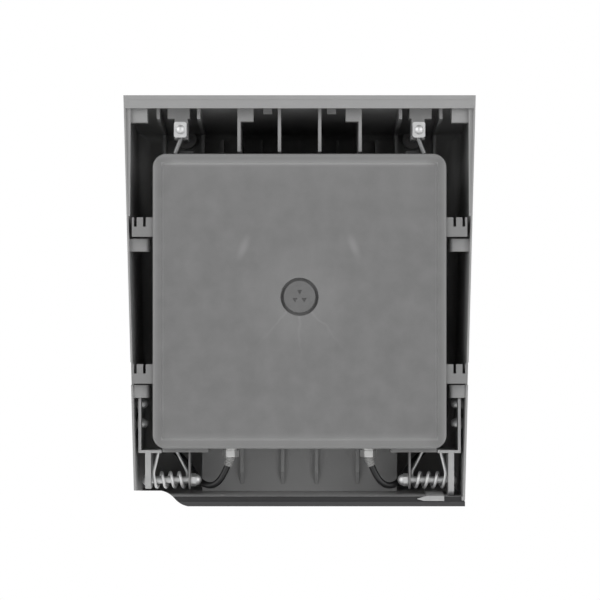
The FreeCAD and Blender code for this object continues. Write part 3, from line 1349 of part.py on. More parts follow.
def led_chips():
    """Rows of LED packages on the board."""
    top = board_top() - BOARD_THICK
    chips = []
    for row in range(CHIP_ROWS):
        y = board_mid_y() + (row - (CHIP_ROWS - 1) / 2) * CHIP_ROW_PITCH
        for index in range(CHIP_COUNT):
            x = (index - (CHIP_COUNT - 1) / 2) * CHIP_PITCH
            chips.append(block((x - CHIP_SIZE / 2, x + CHIP_SIZE / 2), (y - CHIP_SIZE / 2, y + CHIP_SIZE / 2),
                               (top - CHIP_HEIGHT, top)))
    return chips


def board_screws():
    """Screws of the LED board."""
    seat = board_top() - BOARD_THICK
    length = BOARD_THICK + PAD_THICK + CHAMBER_WALL / 2
    return [dome_screw(BOARD_HEAD_RADIUS, BOARD_HEAD_HEIGHT, BOARD_SCREW_RADIUS, V(x, y, seat), V(0, 0, -1),
                       length) for x, y in board_screw_points()]


def lead_connectors():
    """Connectors at the ends of the LED board, where the leads arrive."""
    top = board_top() - BOARD_THICK
    x_pair = (-BOARD_HALF_WIDTH, -BOARD_HALF_WIDTH + CONNECTOR_LENGTH)
    return both(block(x_pair, (GROMMET_Y - CONNECTOR_WIDTH / 2, GROMMET_Y + CONNECTOR_WIDTH / 2),
                      (top - CONNECTOR_HEIGHT, top)))


def reflector_solid(inset):
    """Solid wedge of the reflector's outside, or its inside with an inset."""
    top = board_top() - BOARD_THICK - REFLECTOR_GAP
    low = frame_top() + REFLECTOR_GAP
    top_half = REFLECTOR_TOP_HALF - inset
    top_y = (APERTURE_Y[0] + REFLECTOR_TOP_MARGIN + inset, APERTURE_Y[1] - REFLECTOR_TOP_MARGIN - inset)
    low_half = APERTURE_HALF_WIDTH - REFLECTOR_GAP - inset
    low_y = (APERTURE_Y[0] + REFLECTOR_GAP + inset, APERTURE_Y[1] - REFLECTOR_GAP - inset)
    rings = []
    for half, y_pair, z in ((top_half, top_y, top), (low_half, low_y, low)):
        rear, front = y_pair
        corners = [V(-half, rear, z), V(half, rear, z), V(half, front, z), V(-half, front, z)]
        rings.append(Part.makePolygon(corners + [corners[0]]))
    return Part.makeLoft(rings, True, True)


def reflector():
    """Flared reflector between the LED board and the lens."""
    return reflector_solid(0).cut(reflector_solid(REFLECTOR_WALL))


def blanking_plate():
    """Bright plate on the floor at the right, with a lip folded down over the gasket's rear edge."""
    inner, outer = BLANK_X
    face = SHELL_REAR_BOTTOM + GASKET_INSET
    rear = face - BLANK_LIP_THICK
    top = FLOOR_TOP + BLANK_HEIGHTS[0]
    low = FLOOR_TOP - BLANK_LIP_DROP
    side = [(rear, FLOOR_TOP), (rear, top), (BLANK_FRONT, FLOOR_TOP + BLANK_HEIGHTS[1]),
            (BLANK_FRONT, FLOOR_TOP)]
    sheet = prism_x(side, (inner + BLANK_SLANT[0], outer))
    front_view = [(inner, FLOOR_TOP - BLANK_SLANT_HEIGHTS[0]), (inner + BLANK_SLANT[0], top), (outer, top),
                  (outer, low), (inner + BLANK_SLANT[1], low), (inner, FLOOR_TOP - BLANK_SLANT_HEIGHTS[1])]
    return sheet.fuse(prism_y(front_view, (rear, face))).removeSplitter()


def write(name, shape):
    """Write one named piece, or a group of separate solids, to its own file."""
    solids = shape if isinstance(shape, list) else [shape]
    for solid in solids:
        if not solid.isValid() or len(solid.Solids) != 1:
            print("check", name, solid.isValid(), len(solid.Solids))
    bodies = [solid.Solids[0] for solid in solids]
    whole = Part.makeCompound(bodies) if len(bodies) > 1 else bodies[0]
    whole.exportStep(os.path.join("parts", name + ".step"))


def main():
    """Build every piece and write it out."""
    os.makedirs("parts", exist_ok=True)
    singles = {
        "back_cover": back_cover, "entry_plug": entry_plug, "plug_gasket": plug_gasket, "box_lid": box_lid,
        "lid_gasket": lid_gasket, "lid_screws": lid_screws, "led_driver": led_driver,
        "driver_screws": driver_screws, "terminal_block": terminal_block, "surge_protector": surge_protector,
        "ground_screw": ground_screw, "hanger_screws": hanger_screws, "gland_nuts": gland_nuts,
        "latch_keepers": latch_keepers, "keeper_screws": keeper_screws, "shell": shell,
        "lens_gasket": lens_gasket, "lens_frame": lens_frame, "lens": lens, "frame_screws": frame_screws,
        "thermal_pad": thermal_pad, "led_board": led_board, "led_chips": led_chips,
        "board_screws": board_screws, "lead_connectors": lead_connectors, "reflector": reflector,
        "grommets": grommets, "bracket_screws": bracket_screws, "pivot_washers": pivot_washers,
        "pivot_nuts": pivot_nuts, "blanking_plate": blanking_plate,
    }
    for name, make in singles.items():
        write(name, make())
    pairs = {
        "hanger": hanger, "gland": gland, "strain_relief": strain_relief, "lead": lead,
        "pivot_bolt": pivot_bolt, "torsion_spring": torsion_spring, "latch_hub": latch_hub,
        "latch_rod": latch_rod, "latch_shaft": latch_shaft, "latch_screw": latch_screw,
    }
    for name, make in pairs.items():
        shape = make()
        for side, word in ((LEFT, "left"), (RIGHT, "right")):
            write(name + "_" + word, handed(shape, side))
    write("hinge_bracket_left", hinge_bracket(PLATE_END_LEFT))
    write("hinge_bracket_right", mirrored(hinge_bracket(PLATE_END_RIGHT)))


main()
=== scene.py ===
"""Looks of a cutoff wall pack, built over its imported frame.

The frame is the wall side of the light: +X to the right, +Y away from the wall, +Z up, in metres.
Sizes in the classes are millimetres, as in the part's own source, and mm() turns them to metres.
"""

import logging
import math
from dataclasses import dataclass
from enum import Enum
from typing import Any, Mapping, Sequence

import bmesh
import bpy
from bpy.types import ID, Material, Mesh, Node, NodeSocket, NodeTree, Object
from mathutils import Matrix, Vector


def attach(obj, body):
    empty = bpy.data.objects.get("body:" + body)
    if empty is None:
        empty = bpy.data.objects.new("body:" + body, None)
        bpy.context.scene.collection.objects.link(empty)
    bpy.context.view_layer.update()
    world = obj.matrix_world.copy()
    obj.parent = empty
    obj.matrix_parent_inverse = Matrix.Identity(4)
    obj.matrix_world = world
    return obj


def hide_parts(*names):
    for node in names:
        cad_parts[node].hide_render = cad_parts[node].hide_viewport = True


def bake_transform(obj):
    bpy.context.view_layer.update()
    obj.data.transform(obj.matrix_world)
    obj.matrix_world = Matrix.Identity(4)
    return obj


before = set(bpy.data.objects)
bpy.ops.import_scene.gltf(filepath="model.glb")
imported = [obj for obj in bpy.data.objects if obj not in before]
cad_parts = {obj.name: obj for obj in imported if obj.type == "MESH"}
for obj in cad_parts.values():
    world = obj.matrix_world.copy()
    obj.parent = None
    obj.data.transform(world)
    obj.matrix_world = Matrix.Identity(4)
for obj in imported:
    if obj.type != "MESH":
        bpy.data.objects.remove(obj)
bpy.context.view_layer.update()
LOG = logging.getLogger("wall_pack")

# Metres in a millimetre.
MM = 0.001
# Y and Z of the hinge line that the housing swings on, in millimetres.
HINGE_Y, HINGE_Z = 25.0, -130.9
# Faces that meet at more than this angle show a sharp edge.
SHARP_ANGLE = math.radians(38.0)
# Octaves of noise in the patches of colour, in the grain, and in the sway of the cover's flow marks.
PATCH_DETAIL, GRAIN_DETAIL, SWAY_DETAIL = 4.0, 3.0, 2.0
# Middle of a noise's colours, taken away so that it moves points both ways.
NOISE_MIDDLE = (0.5, 0.5, 0.5)
# Factors that keep a point's X and Z, or its X and Y, and drop the third.
XZ_ONLY, XY_ONLY = (1.0, 0.0, 1.0), (1.0, 1.0, 0.0)
# Places of a Mix node's colour sockets, whose names stand there once for each type of value.
MIX_FROM, MIX_TO, MIXED = 6, 7, 2


class Side(Enum):
    """Hand of a piece, as the sign of its X."""

    LEFT = -1
    RIGHT = 1

    @property
    def word(self) -> str:
        """Ending of the names of that side's pieces."""
        return self.name.lower()


def mm(*values: float) -> Vector | float:
    """Turns millimetres to metres.

    Args:
        values: One length, or the three parts of a point.

    Returns:
        The length in metres, or the point as a vector.
    """
    if len(values) == 1:
        return values[0] * MM
    return Vector(value * MM for value in values)


def repeats(size: float) -> float:
    """Scale of a pattern on coordinates in metres, from its real size in millimetres."""
    return 1.0 / mm(size)


def srgb(code: str) -> tuple[float, float, float, float]:
    """Turns an sRGB hex colour to linear, by the curve that the standard gives.

    Args:
        code: Colour such as "#7f7f7f".

    Returns:
        Linear red, green, blue and an alpha of one.
    """
    parts = [int(code[i:i + 2], 16) / 255 for i in (1, 3, 5)]
    linear = [p / 12.92 if p <= 0.04045 else ((p + 0.055) / 1.055) ** 2.4 for p in parts]
    return (*linear, 1.0)


def add(tree: NodeTree, kind: str, links: Mapping[Any, Any] | None = None, **settings: Any) -> Node:
    """Adds a node with its settings, values and links.

    Args:
        tree: Tree that gets the node.
        kind: Type name of the node.
        links: Input name or index to a value, or to the output that feeds it.
        settings: Properties of the node itself.

    Returns:
        The new node.
    """
    node = tree.nodes.new(kind)
    for name, value in settings.items():
        setattr(node, name, value)
    for key, value in (links or {}).items():
        if isinstance(value, NodeSocket):
            tree.links.new(value, node.inputs[key])
        else:
            node.inputs[key].default_value = value
    return node


# Finishes


@dataclass(frozen=True)
class Finish:
    """Surface with a slow drift between two shades and a fine raised grain.

    Attributes:
        name: Common name of the material.
        base: Main colour, sRGB.
        drift: Colour that it drifts to, sRGB.
        patch_mm: Size of the drift's patches.
        grain_mm: Size of the grain.
        relief_mm: Height of the grain.
        roughness: Least and most roughness.
        metallic: 1 for a bare or plated metal.
        ior: Index of refraction, left at the default for a metal.
    """

    name: str
    base: str
    drift: str
    patch_mm: float
    grain_mm: float
    relief_mm: float
    roughness: tuple[float, float]
    metallic: float = 0.0
    ior: float = 1.5

    def colour(self, tree: NodeTree, place: NodeSocket) -> NodeSocket:
        """Colour of the surface.

        Args:
            tree: Material's tree.
            place: Object coordinates.

        Returns:
            Colour output.
        """
        patches = add(tree, "ShaderNodeTexNoise",
                      {"Vector": place, "Scale": repeats(self.patch_mm), "Detail": PATCH_DETAIL})
        mix = add(tree, "ShaderNodeMix",
                  {"Factor": patches.outputs[0], MIX_FROM: srgb(self.base), MIX_TO: srgb(self.drift)},
                  data_type="RGBA")
        return mix.outputs[MIXED]

    def height(self, tree: NodeTree, place: NodeSocket) -> NodeSocket:
        """Raised grain of the surface.

        Args:
            tree: Material's tree.
            place: Object coordinates.

        Returns:
            Height output, from 0 to 1.
        """
        grain = add(tree, "ShaderNodeTexNoise",
                    {"Vector": place, "Scale": repeats(self.grain_mm), "Detail": GRAIN_DETAIL})
        return grain.outputs[0]

    def shader(self, tree: NodeTree) -> Node:
        """Adds the surface shader, linked to the colour and the grain.

        Args:
            tree: Material's tree.

        Returns:
            The shader node.
        """
        place = add(tree, "ShaderNodeTexCoord").outputs["Object"]
        height = self.height(tree, place)
        rough = add(tree, "ShaderNodeMapRange",
                    {"Value": height, "To Min": self.roughness[0], "To Max": self.roughness[1]})
        bump = add(tree, "ShaderNodeBump",
                   {"Height": height, "Distance": mm(self.relief_mm), "Strength": 1.0})
        shader = add(tree, "ShaderNodeBsdfPrincipled",
                     {"Base Color": self.colour(tree, place), "Roughness": rough.outputs[0],
                      "Metallic": self.metallic, "Normal": bump.outputs[0]})
        if not self.metallic:
            shader.inputs["IOR"].default_value = self.ior
        return shader

    def build(self) -> Material:
        """Makes the material.

        Returns:
            The material.
        """
        material = bpy.data.materials.new(self.name)
        material.use_nodes = True
        tree = material.node_tree
        tree.nodes.clear()
        shader = self.shader(tree)
        add(tree, "ShaderNodeOutputMaterial", {"Surface": shader.outputs[0]})
        return material


@dataclass(frozen=True)
class MouldedCover(Finish):
    """Moulded plastic cover: cloudy, with a pale middle, level bands, flow marks and a rubbed rim.

    Attributes:
        rim_half: Half width of the square inside the rim, and its middle height.
        rim_edge: Width over which the painted highlight on the rim comes in.
        rim: Colour of the painted highlight on the rim, sRGB.
        pale: Colour of the pale middle, the knit lines, the streaks and the bands, sRGB.
        halo: Distances from the middle where the pale part is fullest and where it ends.
        halo_share: Share of the pale colour where it is fullest.
        knits: Heading of each knit line from the middle, in degrees from +X towards +Z.
        knit: Half width of a knit line, and the distances from the middle where it starts and ends.
        knit_share: Share of the pale colour at the start of a knit line.
        sway: Length and width of the waves in the knit lines and the pale middle's edge.
        taller: How much further the cover reaches up and down than to the sides.
        groove: Distances from the middle to the inner and the outer edge of the groove in the rim.
        groove_edge: Width over which the painted light on the groove's floor fades out.
        groove_painted_gain: How much paler the groove's floor is painted, as painted light that cancels the
            shade in the recess.
        painted_light_bands: Height, half width and share of the pale colour of each band of painted light.
        band_end: Distances to the side where the painted light bands start to fade and where they end.
        streaks: X, Z and heading of each pale streak, in degrees from +X towards +Z.
        streak: Half length, half width and share of the pale colour of a streak.
    """

    rim_half: tuple[float, float] = (99.0, -3.15)
    rim_edge: float = 3.5
    # Painted highlight: the rim is lighter where the light catches its rounded edge.
    rim: str = "#808080"
    pale: str = "#868686"
    halo: tuple[float, float] = (14.0, 46.0)
    halo_share: float = 0.32
    knits: tuple[float, ...] = (270.0, 229.0, 311.0)
    knit: tuple[float, float, float] = (1.2, 13.0, 52.0)
    knit_share: float = 0.42
    sway: tuple[float, float] = (16.0, 7.0)
    taller: float = 0.45
    groove: tuple[float, float] = (95.8, 97.2)
    groove_edge: float = 0.3
    # Painted light in the groove: its floor is painted paler to cancel the shade in the recess.
    groove_painted_gain: float = 1.4
    # Painted light: paler bands at the top and the bottom of the face, where the light falls on it.
    painted_light_bands: tuple[tuple[float, float, float], ...] = (
        (94.4, 3.8, 0.85), (90.0, 10.0, 0.1), (90.0, 60.0, 0.1), (-101.0, 6.5, 0.6))
    band_end: tuple[float, float] = (88.0, 97.0)
    streaks: tuple[tuple[float, float, float], ...] = ((-39.5, 34.8, 68.0), (38.1, 35.5, 112.0))
    streak: tuple[float, float, float] = (13.0, 4.6, 0.8)

    def knit_lines(self, tree: NodeTree, flat: NodeSocket) -> NodeSocket:
        """Thin lines from the middle, where the streams of plastic met.

        Args:
            tree: Material's tree.
            flat: Coordinates on the face, with no depth.

        Returns:
            Share of the pale colour in the lines.
        """
        width, first, last = self.knit
        total: NodeSocket | float = 0.0
        for heading in self.knits:
            way = Vector((math.cos(math.radians(heading)), 0.0, math.sin(math.radians(heading))))
            across = (-way.z, 0.0, way.x)
            along = add(tree, "ShaderNodeVectorMath", {0: flat, 1: way}, operation="DOT_PRODUCT")
            aside = add(tree, "ShaderNodeVectorMath", {0: flat, 1: across}, operation="DOT_PRODUCT")
            off = add(tree, "ShaderNodeMath", {0: aside.outputs["Value"]}, operation="ABSOLUTE")
            line = add(tree, "ShaderNodeMapRange",
                       {"Value": off.outputs[0], "From Max": mm(width), "To Min": 1.0, "To Max": 0.0})
            fade = add(tree, "ShaderNodeMapRange",
                       {"Value": along.outputs["Value"], "From Min": mm(first), "From Max": mm(last),
                        "To Min": self.knit_share, "To Max": 0.0})
            ahead = add(tree, "ShaderNodeMath", {0: along.outputs["Value"], 1: mm(first)},
                        operation="GREATER_THAN")
            share = line.outputs[0]
            for part in (fade, ahead):
                share = add(tree, "ShaderNodeMath", {0: share, 1: part.outputs[0]},
                            operation="MULTIPLY").outputs[0]
            total = add(tree, "ShaderNodeMath", {0: share, 1: total}, operation="MAXIMUM").outputs[0]
        return total

    def pale_streaks(self, tree: NodeTree, place: NodeSocket) -> NodeSocket:
        """Two short soft streaks above the middle.

        Args:
            tree: Material's tree.
            place: Object coordinates.

        Returns:
            Share of the pale colour in the streaks.
        """
        length, width, most = self.streak
        squeeze = (1.0 / mm(length), 0.0, 1.0 / mm(width))
        total: NodeSocket | float = 0.0
        for x, z, heading in self.streaks:
            shifted = add(tree, "ShaderNodeVectorMath", {0: place, 1: mm(x, 0.0, z)}, operation="SUBTRACT")
            turned = add(tree, "ShaderNodeVectorRotate",
                         {"Vector": shifted.outputs[0], "Angle": math.radians(heading)},
                         rotation_type="Y_AXIS")
            squeezed = add(tree, "ShaderNodeVectorMath", {0: turned.outputs[0], 1: squeeze},
                           operation="MULTIPLY")
            away = add(tree, "ShaderNodeVectorMath", {0: squeezed.outputs[0]}, operation="LENGTH")
            soft = add(tree, "ShaderNodeMapRange",
                       {"Value": away.outputs["Value"], "To Min": most, "To Max": 0.0},
                       interpolation_type="SMOOTHSTEP")
            total = add(tree, "ShaderNodeMath", {0: soft.outputs[0], 1: total}, operation="ADD").outputs[0]
        return total

    def painted_band_share(self, tree: NodeTree, place: NodeSocket) -> NodeSocket:
        """Painted light: paler bands along the top and the bottom of the face, where the light falls.

        Args:
            tree: Material's tree.
            place: Object coordinates.

        Returns:
            Share of the pale colour in the bands.
        """
        axes = add(tree, "ShaderNodeSeparateXYZ", {0: place})
        total: NodeSocket | float = 0.0
        for height, half, most in self.painted_light_bands:
            above = add(tree, "ShaderNodeMath", {0: axes.outputs["Z"], 1: mm(height)}, operation="SUBTRACT")
            off = add(tree, "ShaderNodeMath", {0: above.outputs[0]}, operation="ABSOLUTE")
            soft = add(tree, "ShaderNodeMapRange",
                       {"Value": off.outputs[0], "From Max": mm(half), "To Min": most, "To Max": 0.0},
                       interpolation_type="SMOOTHSTEP")
            total = add(tree, "ShaderNodeMath", {0: soft.outputs[0], 1: total}, operation="ADD").outputs[0]
        aside = add(tree, "ShaderNodeMath", {0: axes.outputs["X"]}, operation="ABSOLUTE")
        first, last = self.band_end
        fade = add(tree, "ShaderNodeMapRange",
                   {"Value": aside.outputs[0], "From Min": mm(first), "From Max": mm(last),
                    "To Min": 1.0, "To Max": 0.0})
        return add(tree, "ShaderNodeMath", {0: total, 1: fade.outputs[0]}, operation="MULTIPLY").outputs[0]

    def pale_share(self, tree: NodeTree, place: NodeSocket) -> NodeSocket:
        """Pale middle, knit lines, streaks and the bands of painted light together.

        Args:
            tree: Material's tree.
            place: Object coordinates.

        Returns:
            Share of the pale colour on the face.
        """
        sway = add(tree, "ShaderNodeTexNoise",
                   {"Vector": place, "Scale": repeats(self.sway[0]), "Detail": SWAY_DETAIL})
        shift = add(tree, "ShaderNodeVectorMath", {0: sway.outputs["Color"], 1: NOISE_MIDDLE},
                    operation="SUBTRACT")
        small = add(tree, "ShaderNodeVectorMath", {0: shift.outputs[0], "Scale": mm(self.sway[1])},
                    operation="SCALE")
        moved = add(tree, "ShaderNodeVectorMath", {0: place, 1: small.outputs[0]}, operation="ADD")
        flat = add(tree, "ShaderNodeVectorMath", {0: moved.outputs[0], 1: XZ_ONLY}, operation="MULTIPLY")
        near = add(tree, "ShaderNodeVectorMath", {0: flat.outputs[0]}, operation="LENGTH")
        first, last = self.halo
        halo = add(tree, "ShaderNodeMapRange",
                   {"Value": near.outputs["Value"], "From Min": mm(first), "From Max": mm(last),
                    "To Min": self.halo_share, "To Max": 0.0}, interpolation_type="SMOOTHSTEP")
        share: NodeSocket = halo.outputs[0]
        for more in (self.knit_lines(tree, flat.outputs[0]), self.pale_streaks(tree, place),
                     self.painted_band_share(tree, place)):
            share = add(tree, "ShaderNodeMath", {0: share, 1: more}, operation="ADD").outputs[0]
        return share

    def square_reach(self, tree: NodeTree, place: NodeSocket) -> NodeSocket:
        """Distance from the cover's middle to the side or up and down, whichever is more.

        Args:
            tree: Material's tree.
            place: Object coordinates.

        Returns:
            The distance, less the extra height.
        """
        middle, extra = (0.0, 0.0, mm(self.rim_half[1])), (0.0, 0.0, mm(self.taller))
        centred = add(tree, "ShaderNodeVectorMath", {0: place, 1: middle}, operation="SUBTRACT")
        parts = add(tree, "ShaderNodeVectorMath", {0: centred.outputs[0]}, operation="ABSOLUTE")
        squared = add(tree, "ShaderNodeVectorMath", {0: parts.outputs[0], 1: extra}, operation="SUBTRACT")
        axes = add(tree, "ShaderNodeSeparateXYZ", {0: squared.outputs[0]})
        reach = add(tree, "ShaderNodeMath", {0: axes.outputs["X"], 1: axes.outputs["Z"]}, operation="MAXIMUM")
        return reach.outputs[0]

    def groove_painted_light(self, tree: NodeTree, reach: NodeSocket) -> NodeSocket:
        """Gain of painted light that makes the groove's floor paler, cancelling the shade in the recess.

        Args:
            tree: Material's tree.
            reach: Distance from the cover's middle.

        Returns:
            Factor of the colour, 1 away from the groove.
        """
        inner, outer = self.groove
        half = (outer - inner) / 2
        past = add(tree, "ShaderNodeMath", {0: reach, 1: mm((inner + outer) / 2)}, operation="SUBTRACT")
        off = add(tree, "ShaderNodeMath", {0: past.outputs[0]}, operation="ABSOLUTE")
        gain = add(tree, "ShaderNodeMapRange",
                   {"Value": off.outputs[0], "From Min": mm(half), "From Max": mm(half + self.groove_edge),
                    "To Min": self.groove_painted_gain, "To Max": 1.0})
        return gain.outputs[0]

    def colour(self, tree: NodeTree, place: NodeSocket) -> NodeSocket:
        """Cloudy base with the pale parts, painted light in the groove and a painted highlight on the rim.

        Args:
            tree: Material's tree.
            place: Object coordinates.

        Returns:
            Colour output.
        """
        clouds = super().colour(tree, place)
        face = add(tree, "ShaderNodeMix",
                   {"Factor": self.pale_share(tree, place), MIX_FROM: clouds, MIX_TO: srgb(self.pale)},
                   data_type="RGBA")
        reach = self.square_reach(tree, place)
        # Painted light: the groove's floor is made paler to cancel the shade that falls in the recess.
        groove_lit_face = add(tree, "ShaderNodeVectorMath",
                   {0: face.outputs[MIXED], "Scale": self.groove_painted_light(tree, reach)}, operation="SCALE")
        half = self.rim_half[0]
        # Painted highlight along the rounded rim, lighter where the light catches it.
        edge = add(tree, "ShaderNodeMapRange",
                   {"Value": reach, "From Min": mm(half), "From Max": mm(half + self.rim_edge)})
        rim_highlit = add(tree, "ShaderNodeMix",
                     {"Factor": edge.outputs[0], MIX_FROM: groove_lit_face.outputs[0], MIX_TO: srgb(self.rim)},
                     data_type="RGBA")
        return rim_highlit.outputs[MIXED]


@dataclass(frozen=True)
class DrawnMetal(Finish):
    """Plated metal with fine drawn or rolled lines along one axis.

    Attributes:
        along: Stretch of the grain on each axis, small along the lines.
    """

    along: tuple[float, float, float] = (1.0, 1.0, 0.06)

    def height(self, tree: NodeTree, place: NodeSocket) -> NodeSocket:
        """Grain stretched into lines.

        Args:
            tree: Material's tree.
            place: Object coordinates.

        Returns:
            Height output, from 0 to 1.
        """
        stretched = add(tree, "ShaderNodeVectorMath", {0: place, 1: self.along}, operation="MULTIPLY")
        return super().height(tree, stretched.outputs[0])


@dataclass(frozen=True)
class PrismLens(Finish):
    """Clear sheet with rows of shallow round hollows on its face.

    Attributes:
        prism_mm: Width of one hollow.
    """

    prism_mm: float = 4.0

    def height(self, tree: NodeTree, place: NodeSocket) -> NodeSocket:
        """Hollows in even rows.

        Args:
            tree: Material's tree.
            place: Object coordinates.

        Returns:
            Height output, from 0 in the middle of a hollow.
        """
        cells = add(tree, "ShaderNodeTexVoronoi",
                    {"Vector": place, "Scale": repeats(self.prism_mm), "Randomness": 0.0})
        return cells.outputs[0]

    def shader(self, tree: NodeTree) -> Node:
        """Adds the surface shader and lets light through it.

        Args:
            tree: Material's tree.

        Returns:
            The shader node.
        """
        shader = super().shader(tree)
        shader.inputs["Transmission Weight"].default_value = 1.0
        return shader


@dataclass(frozen=True)
class LedGrid(Finish):
    """White packages with a round yellow phosphor in the middle of each.

    Attributes:
        pitch_mm: Pitch of the packages in X and Y.
        middle_mm: Middle of one package in X and Y.
        dome_mm: Radius of the phosphor.
        edge_mm: Width of the phosphor's soft edge.
        phosphor: Colour of the phosphor, sRGB.
    """

    pitch_mm: tuple[float, float] = (11.0, 12.0)
    middle_mm: tuple[float, float] = (5.5, 71.0)
    dome_mm: float = 1.1
    edge_mm: float = 0.15
    phosphor: str = "#e6c04a"

    def colour(self, tree: NodeTree, place: NodeSocket) -> NodeSocket:
        """White with one yellow disc for each package.

        Args:
            tree: Material's tree.
            place: Object coordinates.

        Returns:
            Colour output.
        """
        pitch = (mm(self.pitch_mm[0]), mm(self.pitch_mm[1]), 1.0)
        half = (pitch[0] / 2, pitch[1] / 2, 0.0)
        corner = (mm(self.middle_mm[0]) - half[0], mm(self.middle_mm[1]) - half[1], 0.0)
        shifted = add(tree, "ShaderNodeVectorMath", {0: place, 1: corner}, operation="SUBTRACT")
        cell = add(tree, "ShaderNodeVectorMath", {0: shifted.outputs[0], 1: pitch}, operation="MODULO")
        positive = add(tree, "ShaderNodeVectorMath", {0: cell.outputs[0], 1: pitch}, operation="ADD")
        again = add(tree, "ShaderNodeVectorMath", {0: positive.outputs[0], 1: pitch}, operation="MODULO")
        flat = add(tree, "ShaderNodeVectorMath", {0: again.outputs[0], 1: XY_ONLY}, operation="MULTIPLY")
        reach = add(tree, "ShaderNodeVectorMath", {0: flat.outputs[0], 1: half}, operation="DISTANCE")
        disc = add(tree, "ShaderNodeMapRange",
                   {"Value": reach.outputs["Value"], "From Min": mm(self.dome_mm),
                    "From Max": mm(self.dome_mm + self.edge_mm), "To Min": 1.0, "To Max": 0.0})
        white = super().colour(tree, place)
        mix = add(tree, "ShaderNodeMix",
                  {"Factor": disc.outputs[0], MIX_FROM: white, MIX_TO: srgb(self.phosphor)},
                  data_type="RGBA")
        return mix.outputs[MIXED]


# Real grain is too fine to show in the render, so each finish draws it coarser: 0.4 to 1.4 mm wide on the
# pieces, and wider on the floor.

# Grey plastic of the box: its two shades, patches, grain, relief and roughness.
BOX_PLASTIC = ("#676767", "#7d7d7d", 14.0, 1.1, 0.05, (0.5, 0.68))
# Injection-moulded cover: dull mid grey, a little cloudy, with a fine spark-eroded grain, faint flow marks,
# painted light in bands along its top and bottom and in its groove, and a painted highlight on its rim.
COVER = MouldedCover("moulded_grey_cover", *BOX_PLASTIC)
# Lid of the same plastic: dull mid grey with the same grain and clouds, but no flow marks.
LID = Finish("moulded_grey_lid", *BOX_PLASTIC)
# Die casting under grey powder coat: an even satin with the slight orange peel of a baked coat.
CASTING = Finish("powder_coated_casting", "#929292", "#9b9b9b", 25.0, 1.4, 0.06, (0.42, 0.6))
# The same casting, near black on the frame that holds the lens: an even satin.
DARK_CASTING = Finish("near_black_frame_casting", "#353536", "#3d3d3e", 25.0, 1.4, 0.06, (0.45, 0.62))
# Pressed sheet painted grey like the box: smooth, with a thin even coat.
PAINTED_SHEET = Finish("grey_painted_sheet", "#777777", "#7e7e7e", 12.0, 1.2, 0.03, (0.4, 0.55))
# Pressed sheet under a black baked coat: near black, even and satin.
BLACK_SHEET = Finish("black_coated_sheet", "#2a2a2b", "#333334", 8.0, 1.0, 0.03, (0.45, 0.6))
# Zinc-plated pressed sheet: pale, softly mirrored, with rolling lines along the strip.
ZINC_SHEET = DrawnMetal("zinc_plated_sheet", "#c4c4c3", "#b2b3b4", 6.0, 0.5, 0.015, (0.55, 0.7), 1.0)
# Bright zinc fasteners: smooth and light, with small dull spots.
BRIGHT_ZINC = Finish("bright_zinc_fasteners", "#e6e6e5", "#d2d3d4", 2.5, 0.6, 0.01, (0.45, 0.6), 1.0)
# Zinc-plated spring wire: pale and dull, in small lighter and darker patches.
SPRING_WIRE = Finish("zinc_plated_spring_wire", "#e6e6e5", "#d4d5d6", 1.8, 0.4, 0.01, (0.5, 0.65), 1.0)
# Dull zinc on the turned latch rods: darker than the sheet, with fine upright lines.
DULL_ZINC = DrawnMetal("dull_zinc_rod", "#a0a0a0", "#919293", 6.0, 0.5, 0.015, (0.55, 0.7), 1.0)
# Nickel-plated turned brass: bright and softly mirrored.
NICKEL = Finish("nickel_plated_brass", "#f0f0ef", "#e3e3e2", 3.0, 0.5, 0.008, (0.4, 0.55), 1.0)
# Grey moulded rubber sleeve: dull and soft.
GREY_RUBBER = Finish("grey_moulded_rubber", "#8b8b8a", "#979796", 4.0, 0.8, 0.03, (0.55, 0.75), 0.0, 1.52)
# Moulded black rubber: dull, with a dusty bloom.
RUBBER = Finish("black_moulded_rubber", "#1b1b1c", "#262627", 9.0, 0.9, 0.03, (0.6, 0.8), 0.0, 1.52)
# Moulded rubber ring round the plug: dull grey, so that only its narrow gap looks dark.
RING_RUBBER = Finish("dull_grey_rubber_ring", "#6a6a6a", "#747474", 5.0, 0.8, 0.03, (0.6, 0.78), 0.0, 1.52)
# Extruded cable jacket: black and softly glossy.
JACKET = Finish("black_cable_jacket", "#131314", "#1c1c1d", 5.0, 0.7, 0.01, (0.3, 0.45), 0.0, 1.52)
# Moulded plug in a slightly darker plastic than the cover: dull and even.
PLUG = Finish("moulded_grey_plug", "#616161", "#6e6e6e", 6.0, 0.8, 0.03, (0.45, 0.62))
# Clear moulded polycarbonate: glassy, with small hollows that break up what lies behind it.
LENS = PrismLens("clear_prism_polycarbonate", "#f2f5f6", "#eef2f3", 20.0, 1.0, 0.12, (0.03, 0.08), 0.0, 1.585)
# Bright anodised reflector sheet, rolled along its length: mirror-like, with faint long lines.
REFLECTOR = DrawnMetal("bright_anodised_sheet", "#e4e5e6", "#dadcde", 15.0, 0.5, 0.006, (0.12, 0.2), 1.0,
                       along=(0.05, 1.0, 1.0))
# White solder mask on an aluminium board: an even white with a soft gloss.
BOARD = Finish("white_solder_mask", "#e9e9e6", "#dfdfdb", 8.0, 0.8, 0.01, (0.3, 0.42))
# LED packages: glossy white epoxy with a disc of yellow phosphor in each.
LEDS = LedGrid("led_phosphor_packages", "#ececea", "#e2e2df", 2.0, 0.5, 0.01, (0.25, 0.35))
# Soft silicone pad: dull blue grey.
THERMAL = Finish("grey_silicone_pad", "#9aa0a6", "#8b9197", 5.0, 0.8, 0.03, (0.6, 0.75), 0.0, 1.41)
# Natural nylon connector: milky white with a soft gloss.
NYLON = Finish("natural_nylon", "#e6e4da", "#d8d6cb", 4.0, 0.7, 0.02, (0.35, 0.5), 0.0, 1.53)
